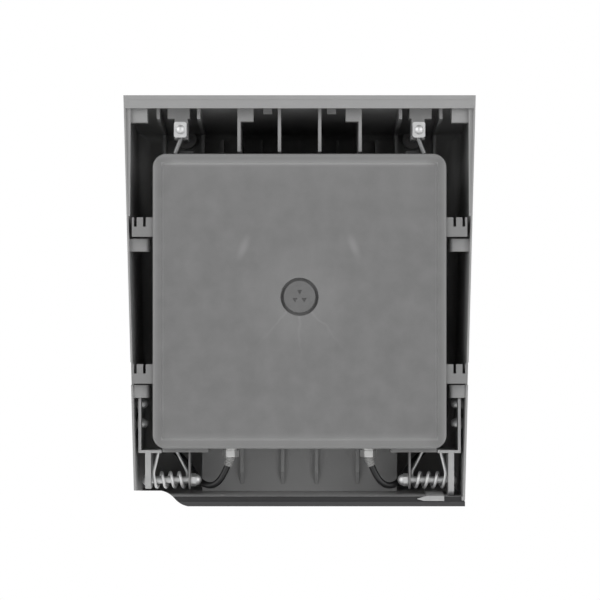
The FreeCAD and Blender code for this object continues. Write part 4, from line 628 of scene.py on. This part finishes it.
# Drawn aluminium case of the driver: pale metal with fine lines along its length.
DRIVER = DrawnMetal("drawn_aluminium_case", "#b8babb", "#a7a9ab", 9.0, 0.5, 0.012, (0.3, 0.45), 1.0,
                    along=(0.05, 1.0, 1.0))
# Moulded polyamide terminal block: dull black.
TERMINAL = Finish("black_polyamide", "#1e1e20", "#2a2a2c", 5.0, 0.8, 0.03, (0.45, 0.6), 0.0, 1.53)
# Potted case of the surge protector: smooth dark blue, softly glossy.
SURGE = Finish("blue_potted_case", "#27407a", "#223768", 7.0, 0.8, 0.02, (0.3, 0.45), 0.0, 1.52)
# Green enamel on the ground screw: smooth and glossy.
ENAMEL = Finish("green_enamel", "#2c7a3f", "#256a36", 2.0, 0.5, 0.01, (0.2, 0.32))
# Matt paint on the studio's floor: an even white with no reflections.
FLOOR_PAINT = Finish("pale_floor", "#ffffff", "#fcfcfc", 300.0, 4.0, 0.02, (0.8, 0.9))

# Nodes that keep their solids, under the finish that each gets.
NODE_FINISHES: dict[Finish, tuple[str, ...]] = {
    COVER: ("back_cover",),
    LID: ("box_lid",),
    CASTING: ("shell",),
    DARK_CASTING: ("lens_frame",),
    PAINTED_SHEET: ("hanger_left", "hanger_right"),
    BLACK_SHEET: ("latch_keepers", "keeper_screws"),
    ZINC_SHEET: ("hinge_bracket_left", "hinge_bracket_right", "blanking_plate"),
    DULL_ZINC: ("latch_rod_left", "latch_rod_right"),
    BRIGHT_ZINC: ("driver_screws", "board_screws", "pivot_bolt_left", "pivot_bolt_right", "pivot_nuts",
                  "pivot_washers", "latch_hub_left", "latch_hub_right", "latch_shaft_left",
                  "latch_shaft_right", "latch_screw_left", "latch_screw_right"),
    NICKEL: ("gland_left", "gland_right", "gland_nuts"),
    RUBBER: ("lid_gasket", "lens_gasket", "grommets"),
    RING_RUBBER: ("plug_gasket",),
    PLUG: ("entry_plug",),
    LENS: ("lens",),
    REFLECTOR: ("reflector",),
    BOARD: ("led_board",),
    LEDS: ("led_chips",),
    THERMAL: ("thermal_pad",),
    NYLON: ("lead_connectors",),
    DRIVER: ("led_driver",),
    TERMINAL: ("terminal_block",),
    SURGE: ("surge_protector",),
    ENAMEL: ("ground_screw",),
}


class Paints:
    """Materials made once for each finish."""

    def __init__(self) -> None:
        """Starts with none made."""
        self._made: dict[Finish, Material] = {}

    def of(self, finish: Finish) -> Material:
        """Material of a finish, made at its first use.

        Args:
            finish: The finish.

        Returns:
            Its material.
        """
        if finish not in self._made:
            self._made[finish] = finish.build()
        return self._made[finish]

    def dress(self, piece: Object, finish: Finish) -> None:
        """Gives a piece one finish all over.

        Args:
            piece: Object with a mesh.
            finish: The finish.
        """
        piece.data.materials.clear()
        piece.data.materials.append(self.of(finish))


PAINTS = Paints()


# Shared mesh and node tools


def place_object(name: str, data: ID) -> Object:
    """Puts data into the scene at the origin.

    Args:
        name: Name of the object.
        data: Mesh, curve, lamp or camera.

    Returns:
        The object.
    """
    piece = bpy.data.objects.new(name, data)
    bpy.context.scene.collection.objects.link(piece)
    return piece


def new_tree(name: str, inputs: Sequence[tuple[str, str]]) -> tuple[NodeTree, Node]:
    """Starts a geometry tree with named inputs.

    Args:
        name: Name of the tree.
        inputs: Name and socket type of each input after the geometry.

    Returns:
        The tree and its input node.
    """
    tree = bpy.data.node_groups.new(name, "GeometryNodeTree")
    tree.interface.new_socket("Geometry", in_out="INPUT", socket_type="NodeSocketGeometry")
    for label, kind in inputs:
        tree.interface.new_socket(label, in_out="INPUT", socket_type=kind)
    tree.interface.new_socket("Geometry", in_out="OUTPUT", socket_type="NodeSocketGeometry")
    return tree, add(tree, "NodeGroupInput")


def end_tree(tree: NodeTree, shape: NodeSocket, finish: NodeSocket) -> None:
    """Ends a geometry tree with real geometry in one material.

    Args:
        tree: The tree.
        shape: Geometry so far.
        finish: Material input.
    """
    real = add(tree, "GeometryNodeRealizeInstances", {0: shape})
    painted = add(tree, "GeometryNodeSetMaterial", {"Geometry": real.outputs[0], "Material": finish})
    add(tree, "NodeGroupOutput", {0: painted.outputs[0]})


def plain_mesh(source: Object) -> Mesh:
    """Takes the finished mesh of an object and removes the object.

    Args:
        source: Mesh or curve object.

    Returns:
        The mesh.
    """
    graph = bpy.context.evaluated_depsgraph_get()
    mesh = bpy.data.meshes.new_from_object(source.evaluated_get(graph), depsgraph=graph)
    bpy.data.objects.remove(source)
    return mesh


def grow(source: Object, tree: NodeTree, values: Mapping[str, Any], name: str) -> Object:
    """Runs a geometry tree on an object and keeps the result as a plain mesh.

    Args:
        source: Object that feeds the tree, removed afterwards.
        tree: Geometry tree.
        values: Input name to value.
        name: Name of the finished piece.

    Returns:
        The finished piece.
    """
    modifier = source.modifiers.new(tree.name, "NODES")
    modifier.node_group = tree
    for item in tree.interface.items_tree:
        if item.in_out == "INPUT" and item.name in values:
            modifier[item.identifier] = values[item.name]
    mesh = plain_mesh(source)
    mesh.name = name
    mesh.shade_smooth()
    mesh.set_sharp_from_angle(angle=SHARP_ANGLE)
    return place_object(name, mesh)


def wire_tree() -> NodeTree:
    """Tree that turns a line into a round wire or cable.

    Returns:
        The tree.
    """
    tree, given = new_tree("round_wire", (("Radius", "NodeSocketFloat"), ("Sides", "NodeSocketInt"),
                                          ("Finish", "NodeSocketMaterial")))
    ring = add(tree, "GeometryNodeCurvePrimitiveCircle",
               {"Resolution": given.outputs["Sides"], "Radius": given.outputs["Radius"]})
    swept = add(tree, "GeometryNodeCurveToMesh",
                {"Curve": given.outputs["Geometry"], "Profile Curve": ring.outputs[0], "Fill Caps": True})
    end_tree(tree, swept.outputs[0], given.outputs["Finish"])
    return tree


# Sizes that the tree of the socket screws takes, in millimetres.
SCREW_SIZES = ("Head radius", "Head height", "Shank radius", "Shank length", "Socket radius", "Socket depth")
# Faces of a screw: round its dome, up the whole ball of the dome, round its shank and round its socket.
DOME_SEGMENTS, DOME_RINGS, SHANK_SIDES, SOCKET_SIDES = 32, 20, 24, 6
# Side of the block that cuts the ball in half, in radii of the head.
BLOCK_SHARE = 4.0
# Share of a centred shape's own height that moves its top down to the seat.
BELOW = -0.5


def screw_tree() -> NodeTree:
    """Tree that sets a domed screw with a hexagon socket on every point, along the point's heading.

    Returns:
        The tree.
    """
    tree, given = new_tree("socket_screws", [(name, "NodeSocketFloat") for name in SCREW_SIZES]
                           + [("Finish", "NodeSocketMaterial")])
    size = {name: given.outputs[name] for name in SCREW_SIZES}
    ball = add(tree, "GeometryNodeMeshUVSphere",
               {"Segments": DOME_SEGMENTS, "Rings": DOME_RINGS, "Radius": 1.0})
    spread = add(tree, "ShaderNodeCombineXYZ",
                 {0: size["Head radius"], 1: size["Head radius"], 2: size["Head height"]})
    dome = add(tree, "GeometryNodeTransform", {"Geometry": ball.outputs[0], "Scale": spread.outputs[0]})
    width = add(tree, "ShaderNodeMath", {0: size["Head radius"], 1: BLOCK_SHARE}, operation="MULTIPLY")
    drop = add(tree, "ShaderNodeMath", {0: width.outputs[0], 1: BELOW}, operation="MULTIPLY")
    sides = add(tree, "ShaderNodeCombineXYZ", {axis: width.outputs[0] for axis in range(3)})
    block = add(tree, "GeometryNodeMeshCube", {"Size": sides.outputs[0]})
    deep = add(tree, "ShaderNodeMath", {0: size["Socket depth"], 1: 2.0}, operation="MULTIPLY")
    hexagon = add(tree, "GeometryNodeMeshCylinder",
                  {"Vertices": SOCKET_SIDES, "Radius": size["Socket radius"], "Depth": deep.outputs[0]})
    rod = add(tree, "GeometryNodeMeshCylinder",
              {"Vertices": SHANK_SIDES, "Radius": size["Shank radius"], "Depth": size["Shank length"]})
    sunk = add(tree, "ShaderNodeMath", {0: size["Shank length"], 1: BELOW}, operation="MULTIPLY")
    placed = []
    for shape, level in ((block, drop.outputs[0]), (hexagon, size["Head height"]), (rod, sunk.outputs[0])):
        offset = add(tree, "ShaderNodeCombineXYZ", {2: level})
        moved = add(tree, "GeometryNodeTransform",
                    {"Geometry": shape.outputs[0], "Translation": offset.outputs[0]})
        placed.append(moved.outputs[0])
    *cutters, shank = placed
    head = dome.outputs[0]
    for cutter in cutters:
        head = add(tree, "GeometryNodeMeshBoolean", {"Mesh 1": head, "Mesh 2": cutter},
                   operation="DIFFERENCE").outputs[0]
    screw = add(tree, "GeometryNodeJoinGeometry")
    for shape in (head, shank):
        tree.links.new(shape, screw.inputs[0])
    heading = add(tree, "GeometryNodeInputNamedAttribute", {"Name": "heading"}, data_type="FLOAT_VECTOR")
    turn = add(tree, "FunctionNodeAlignRotationToVector", {"Vector": heading.outputs[0]}, axis="Z")
    points = add(tree, "GeometryNodeMeshToPoints", {"Mesh": given.outputs["Geometry"]})
    screws = add(tree, "GeometryNodeInstanceOnPoints",
                 {"Points": points.outputs[0], "Instance": screw.outputs[0], "Rotation": turn.outputs[0],
                  "Scale": (MM, MM, MM)})
    end_tree(tree, screws.outputs[0], given.outputs["Finish"])
    return tree


WIRE = wire_tree()
SCREW = screw_tree()


class Line(Enum):
    """How a curve runs: straight from point to point, or smoothly, steered by them."""

    STRAIGHT = "POLY"
    SMOOTH = "NURBS"


def line_curve(name: str, points: Sequence[Vector], line: Line) -> Object:
    """Curve along points.

    Args:
        name: Name of the object.
        points: Points in metres.
        line: How the curve runs.

    Returns:
        Curve object.
    """
    curve = bpy.data.curves.new(name, "CURVE")
    curve.dimensions = "3D"
    spline = curve.splines.new(line.value)
    spline.points.add(len(points) - 1)
    for point, co in zip(spline.points, points):
        point.co = (*co, 1.0)
    return place_object(name, curve)


def round_wire(name: str, points: Sequence[Vector], radius: float, finish: Finish, sides: int) -> Object:
    """Round wire or cable that follows points.

    Args:
        name: Name of the piece.
        points: Points in metres.
        radius: Radius in metres.
        finish: Its finish.
        sides: Faces round the wire.

    Returns:
        The piece.
    """
    values = {"Radius": radius, "Sides": sides, "Finish": PAINTS.of(finish)}
    return grow(line_curve(name + "_line", points, Line.STRAIGHT), WIRE, values, name)


# Sub-assemblies


@dataclass
class ScrewSet:
    """Group of equal screws that stands for one node.

    Attributes:
        node: Node that it replaces.
        body: Body that it rides on.
        slot: Material slot of the record; not used.
        heading: Way the left heads point.
        seats: Seats of the left heads, which the right ones mirror.
        head: Radius and height of the head.
        shank: Radius and length of the shank.
        socket: Corner radius and depth of the hexagon socket.
    """

    node: str
    body: str
    slot: str
    heading: tuple[float, float, float]
    seats: tuple[tuple[float, float, float], ...]
    head: tuple[float, float]
    shank: tuple[float, float]
    socket: tuple[float, float]

    def build(self) -> Object:
        """Makes the screws and sets them on their body.

        Returns:
            The screws, as one piece.
        """
        seats = [(mm(*seat), Vector(self.heading)) for seat in self.seats]
        seats += [(Vector((-at.x, at.y, at.z)), Vector((-way.x, way.y, way.z))) for at, way in seats]
        mesh = bpy.data.meshes.new(self.node + "_seats")
        mesh.from_pydata([at for at, _ in seats], [], [])
        headings = mesh.attributes.new("heading", "FLOAT_VECTOR", "POINT")
        for item, (_, way) in zip(headings.data, seats):
            item.vector = way
        values: dict[str, Any] = dict(zip(SCREW_SIZES, (*self.head, *self.shank, *self.socket)))
        values["Finish"] = PAINTS.of(BRIGHT_ZINC)
        piece = grow(place_object(self.node + "_points", mesh), SCREW, values, "socket_" + self.node)
        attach(piece, self.body)
        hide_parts(self.node)
        return piece


@dataclass
class TorsionSpring:
    """Sprung coil on the hinge line, with one leg to the bracket and one to the hanger.

    Attributes:
        side: Hand of the spring.
        wire: Wire diameter.
        radius: Mean radius of the coil.
        pitch: Advance of one turn.
        turns: Number of turns.
        outer_x: Distance of the coil's outer end from the middle.
        run: Straight run off the coil before a leg bends.
        outer_leg: X and Z of the outer leg's tip.
        inner_leg: X and Z of the inner leg's tip.
        corner: Share of the shorter side of a leg that its rounded corner takes up.
        twist: X where the spring would start to follow the housing, and where it would follow it fully; not
            used.
        wire_sides: Faces round the wire.
        turn_steps: Points in one turn.
        corner_steps: Steps round the corner of a leg.
    """

    side: Side
    wire: float = 2.2
    radius: float = 5.15
    pitch: float = 6.3
    turns: float = 3.5
    outer_x: float = 103.4
    run: float = 5.0
    outer_leg: tuple[float, float] = (100.4, -109.8)
    inner_leg: tuple[float, float] = (89.45, -108.6)
    corner: float = 0.45
    twist: tuple[float, float] = (90.5, 99.4)
    wire_sides: int = 16
    turn_steps: int = 28
    corner_steps: int = 8

    def coil(self, turn: float) -> tuple[Vector, Vector]:
        """Point of the coil and its heading, in millimetres.

        Args:
            turn: Turns from the outer end.

        Returns:
            The point and the unit heading.
        """
        angle = turn * math.tau
        at = Vector((-self.outer_x + self.pitch * turn, HINGE_Y - self.radius * math.cos(angle),
                     HINGE_Z - self.radius * math.sin(angle)))
        way = Vector((self.pitch / math.tau, self.radius * math.sin(angle), -self.radius * math.cos(angle)))
        return at, way.normalized()

    def bend(self, start: Vector, corner: Vector, end: Vector) -> list[Vector]:
        """Leg with one rounded corner.

        Args:
            start: First point.
            corner: Corner of the leg.
            end: Last point.

        Returns:
            Points from start to end.
        """
        reach = self.corner * min((start - corner).length, (end - corner).length)
        first = corner + (start - corner).normalized() * reach
        last = corner + (end - corner).normalized() * reach
        shares = [step / self.corner_steps for step in range(self.corner_steps + 1)]
        turn = [first.lerp(corner, share).lerp(corner.lerp(last, share), share) for share in shares]
        return [start, *turn, end]

    def path(self) -> list[Vector]:
        """Centre line of the whole wire.

        Returns:
            Points in metres, from the outer leg's tip to the inner leg's.
        """
        outer, outer_way = self.coil(0.0)
        inner, inner_way = self.coil(self.turns)
        outer_tip = Vector((-self.outer_leg[0], outer.y, self.outer_leg[1]))
        inner_tip = Vector((-self.inner_leg[0], inner.y, self.inner_leg[1]))
        first = self.bend(outer_tip, outer - outer_way * self.run, outer)
        steps = self.turn_steps
        middle = [self.coil(step / steps)[0] for step in range(1, int(self.turns * steps))]
        last = self.bend(inner, inner + inner_way * self.run, inner_tip)
        flip = -self.side.value
        return [mm(p.x * flip, p.y, p.z) for p in first + middle + last]

    def build(self) -> Object:
        """Makes the spring, a coil between its two legs.

        Returns:
            The spring.
        """
        piece = round_wire(f"sprung_coil_{self.side.word}", self.path(), mm(self.wire / 2), SPRING_WIRE,
                           self.wire_sides)
        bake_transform(piece)
        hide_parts(f"torsion_spring_{self.side.word}")
        return piece


@dataclass
class LeadRun:
    """Black lead from its gland to the light chamber, with its ribbed sleeve.

    Attributes:
        side: Hand of the lead.
        radius: Radius of the lead.
        sleeve: Length, first radius and last radius of the sleeve.
        room: Room between the sleeve and the lead.
        ribs: Number of ribs on the sleeve.
        rib: Half the height of a rib.
        seat: Length of the sleeve that is trimmed level where it meets the gland.
        bend: Y where the lead starts to follow the housing, and where it follows it fully.
        route: Points of the left lead's route.
        lead_sides: Faces round the lead.
        lead_steps: Steps of the lead's line between two points of its route.
        lead_order: Order of that line.
        sleeve_sides: Faces round the sleeve.
        sleeve_steps: Steps along the sleeve.
    """

    side: Side
    radius: float = 2.3
    sleeve: tuple[float, float, float] = (6.8, 3.6, 2.9)
    room: float = 0.1
    ribs: int = 4
    rib: float = 0.22
    seat: float = 2.0
    # bend: Y where the lead would start to follow the housing, and where it would follow it fully; not used.
    bend: tuple[float, float] = (27.0, 64.0)
    route: tuple[tuple[float, float, float], ...] = (
        (-49.2, 22.0, -114.2), (-53.4, 22.6, -126.6), (-61.0, 25.0, -135.6), (-70.2, 31.0, -134.6),
        (-77.2, 39.0, -125.2), (-86.6, 47.6, -115.4), (-92.4, 60.0, -112.4), (-88.4, 74.4, -110.5),
        (-76.4, 78.0, -110.5), (-66.0, 78.0, -110.5))
    lead_sides: int = 24
    lead_steps: int = 12
    lead_order: int = 3
    sleeve_sides: int = 28
    sleeve_steps: int = 40

    def points(self) -> list[Vector]:
        """Points of this side's route, in metres."""
        return [mm(-x * self.side.value, y, z) for x, y, z in self.route]

    def smooth_line(self) -> list[Vector]:
        """Smooth line that the route steers.

        Returns:
            Points of the line, in metres.
        """
        holder = line_curve("lead_route", self.points(), Line.SMOOTH)
        holder.data.resolution_u = self.lead_steps
        spline = holder.data.splines[0]
        spline.order_u = self.lead_order
        spline.use_endpoint_u = True
        mesh = plain_mesh(holder)
        line = [vertex.co.copy() for vertex in mesh.vertices]
        bpy.data.meshes.remove(mesh)
        return line

    def sleeve_rings(self, start: Vector, along: Vector) -> list[tuple[Vector, float]]:
        """Rings of the sleeve, down its ribbed outside and back up its bore.

        Args:
            start: Top of the sleeve's axis.
            along: Unit heading of the axis.

        Returns:
            Middle and radius of each ring, in metres.
        """
        length, wide, narrow = self.sleeve
        rings = []
        for step in range(self.sleeve_steps + 1):
            share = step / self.sleeve_steps
            rib = self.rib * math.cos(share * self.ribs * math.tau)
            radius = mm(wide + (narrow - wide) * share - self.rib + rib)
            rings.append((start + along * mm(length * share), radius))
        bore = mm(self.radius + self.room)
        return rings + [(start + along * mm(length), bore), (start, bore)]

    def build_sleeve(self) -> Object:
        """Makes the ribbed rubber sleeve round the start of the lead.

        Returns:
            The sleeve.
        """
        start, second = self.points()[:2]
        along = (second - start).normalized()
        across = along.orthogonal().normalized()
        other = along.cross(across)
        sides = self.sleeve_sides
        mesh = bmesh.new()
        loops = []
        for middle, radius in self.sleeve_rings(start, along):
            loop = []
            for index in range(sides):
                angle = index * math.tau / sides
                at = middle + (across * math.cos(angle) + other * math.sin(angle)) * radius
                if (middle - start).length < mm(self.seat):
                    over = max(0.0, at.z - start.z)
                    at += along * (over / -along.z)
                loop.append(mesh.verts.new(at))
            loops.append(loop)
        for here, there in zip(loops, loops[1:] + loops[:1]):
            for index in range(sides):
                after = (index + 1) % sides
                mesh.faces.new((here[index], here[after], there[after], there[index]))
        bmesh.ops.recalc_face_normals(mesh, faces=mesh.faces)
        data = bpy.data.meshes.new(f"ribbed_sleeve_{self.side.word}")
        mesh.to_mesh(data)
        mesh.free()
        data.shade_smooth()
        piece = place_object(data.name, data)
        PAINTS.dress(piece, GREY_RUBBER)
        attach(piece, "back_box")
        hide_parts(f"strain_relief_{self.side.word}")
        return piece

    def build(self) -> list[Object]:
        """Makes the lead and its sleeve.

        Returns:
            The lead and the sleeve.
        """
        line = self.smooth_line()
        piece = round_wire(f"black_lead_{self.side.word}", line, mm(self.radius), JACKET, self.lead_sides)
        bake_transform(piece)
        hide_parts(f"lead_{self.side.word}")
        sleeve = self.build_sleeve()
        return [piece, sleeve]


# Nodes whose screws are drawn again with sockets in their heads.
SCREW_SETS = (
    ScrewSet("bracket_screws", "housing", "bright_steel", (1.0, 0.0, 0.0),
             ((-112.4, 25.0, -76.2), (-112.4, 25.0, -90.3)), (3.7, 4.4), (2.0, 3.4), (1.7, 1.8)),
    ScrewSet("hanger_screws", "back_box", "bright_steel", (0.0, 0.0, -1.0),
             ((-68.55, 34.0, -110.0), (-93.55, 34.0, -110.0)), (3.2, 2.0), (2.0, 7.7), (1.5, 1.1)),
    ScrewSet("lid_screws", "back_box", "bright_steel", (0.0, 1.0, 0.0),
             ((-94.7, 46.3, 92.0), (-94.7, 46.3, -98.3)), (3.6, 2.0), (2.0, 14.0), (1.7, 1.1)),
    ScrewSet("frame_screws", "housing", "bright_steel", (0.0, 0.0, -1.0),
             ((-55.0, 21.0, -146.2), (-76.5, 56.0, -146.2), (-76.5, 92.0, -146.2)), (3.4, 2.2), (1.9, 4.6),
             (1.7, 1.2)),
)


# Studio


@dataclass(frozen=True)
class SoftBox:
    """Square soft lamp that faces the origin.

    Attributes:
        name: Name of the lamp.
        place: Its middle, in millimetres.
        size: Length of its sides, in millimetres.
        power: Its power, in watts.
    """

    name: str
    place: tuple[float, float, float]
    size: float
    power: float

    def build(self) -> None:
        """Makes the lamp and turns it to the origin."""
        lamp = bpy.data.lights.new(self.name, "AREA")
        lamp.shape = "SQUARE"
        lamp.size = mm(self.size)
        lamp.energy = self.power
        holder = place_object(lamp.name, lamp)
        holder.location = mm(*self.place)
        holder.rotation_euler = (-holder.location).to_track_quat("-Z", "Y").to_euler()


@dataclass
class Studio:
    """White surroundings, soft light and the camera.

    Attributes:
        eye: Camera point, in millimetres.
        spread: Angle of view, in degrees.
        near: Least distance that the camera sees, in millimetres.
        floor_z: Height of the floor, in millimetres.
        floor_reach: Half width of the floor, in millimetres.
        white: Colour of the surroundings, sRGB.
        glow: Strength of the surroundings in the middle plane, and at both sides.
        gap: Sideways share of the heading at which the dimmer part ends and the full glow starts.
        lamps: The soft lamps.
    """

    eye: tuple[float, float, float] = (0.3, -1410.0, -2.25)
    spread: float = 17.02
    near: float = 50.0
    floor_z: float = -520.0
    floor_reach: float = 1900.0
    white: str = "#ffffff"
    glow: tuple[float, float] = (0.12, 1.28)
    gap: tuple[float, float] = (0.15, 0.55)
    lamps: tuple[SoftBox, ...] = (SoftBox("key_softbox", (-1200.0, -1300.0, 800.0), 1000.0, 7.0),
                                  SoftBox("fill_softbox", (1200.0, -1300.0, 600.0), 1000.0, 5.0))

    def build_floor(self) -> None:
        """Makes the pale floor, well below the light that hangs on its wall face."""
        mesh = bpy.data.meshes.new("pale_floor")
        reach, height = mm(self.floor_reach), mm(self.floor_z)
        mesh.from_pydata([(-reach, -reach, height), (reach, -reach, height), (reach, reach, height),
                          (-reach, reach, height)], [], [(0, 1, 2, 3)])
        floor = place_object("pale_floor", mesh)
        PAINTS.dress(floor, FLOOR_PAINT)

    def build_surroundings(self) -> None:
        """Makes the white surroundings, brightest at the two sides and plain white to the camera."""
        world = bpy.data.worlds.new("white_studio")
        world.use_nodes = True
        tree = world.node_tree
        tree.nodes.clear()
        around = add(tree, "ShaderNodeTexCoord").outputs["Generated"]
        heading = add(tree, "ShaderNodeSeparateXYZ", {0: around})
        aside = add(tree, "ShaderNodeMath", {0: heading.outputs["X"]}, operation="ABSOLUTE")
        walls = add(tree, "ShaderNodeMapRange",
                    {"Value": aside.outputs[0], "From Min": self.gap[0], "From Max": self.gap[1],
                     "To Min": self.glow[0], "To Max": self.glow[1]}, interpolation_type="SMOOTHSTEP")
        seen = add(tree, "ShaderNodeLightPath").outputs["Is Camera Ray"]
        strength = add(tree, "ShaderNodeMix", {"Factor": seen, "A": walls.outputs[0], "B": 1.0})
        light = add(tree, "ShaderNodeBackground",
                    {"Color": srgb(self.white), "Strength": strength.outputs[0]})
        add(tree, "ShaderNodeOutputWorld", {"Surface": light.outputs[0]})
        bpy.context.scene.world = world
        bpy.context.scene.view_settings.view_transform = "Standard"

    def build_camera(self) -> None:
        """Makes the camera, square on to the wall face."""
        lens = bpy.data.cameras.new("camera")
        lens.angle = math.radians(self.spread)
        lens.clip_start = mm(self.near)
        lens.dof.use_dof = False
        camera = place_object("camera", lens)
        camera.location = mm(*self.eye)
        camera.rotation_euler = (math.pi / 2, 0.0, 0.0)
        bpy.context.scene.camera = camera

    def build(self) -> None:
        """Makes the whole studio."""
        self.build_floor()
        self.build_surroundings()
        for lamp in self.lamps:
            lamp.build()
        self.build_camera()


def dress_nodes() -> None:
    """Gives every carried-over node its finish."""
    for finish, names in NODE_FINISHES.items():
        for name in names:
            PAINTS.dress(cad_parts[name], finish)
            LOG.info("finish %s on %s", finish.name, name)


def main() -> None:
    """Builds the pieces in order, then the studio."""
    logging.basicConfig(level=logging.INFO, format="%(message)s")
    dress_nodes()
    pieces: list[Object] = []
    for side in Side:
        pieces += [TorsionSpring(side).build(), *LeadRun(side).build()]
    pieces += [screws.build() for screws in SCREW_SETS]
    for piece in pieces:
        LOG.info("piece %s: %d faces", piece.name, len(piece.data.polygons))
    Studio().build()


if __name__ == "__main__":
    main()
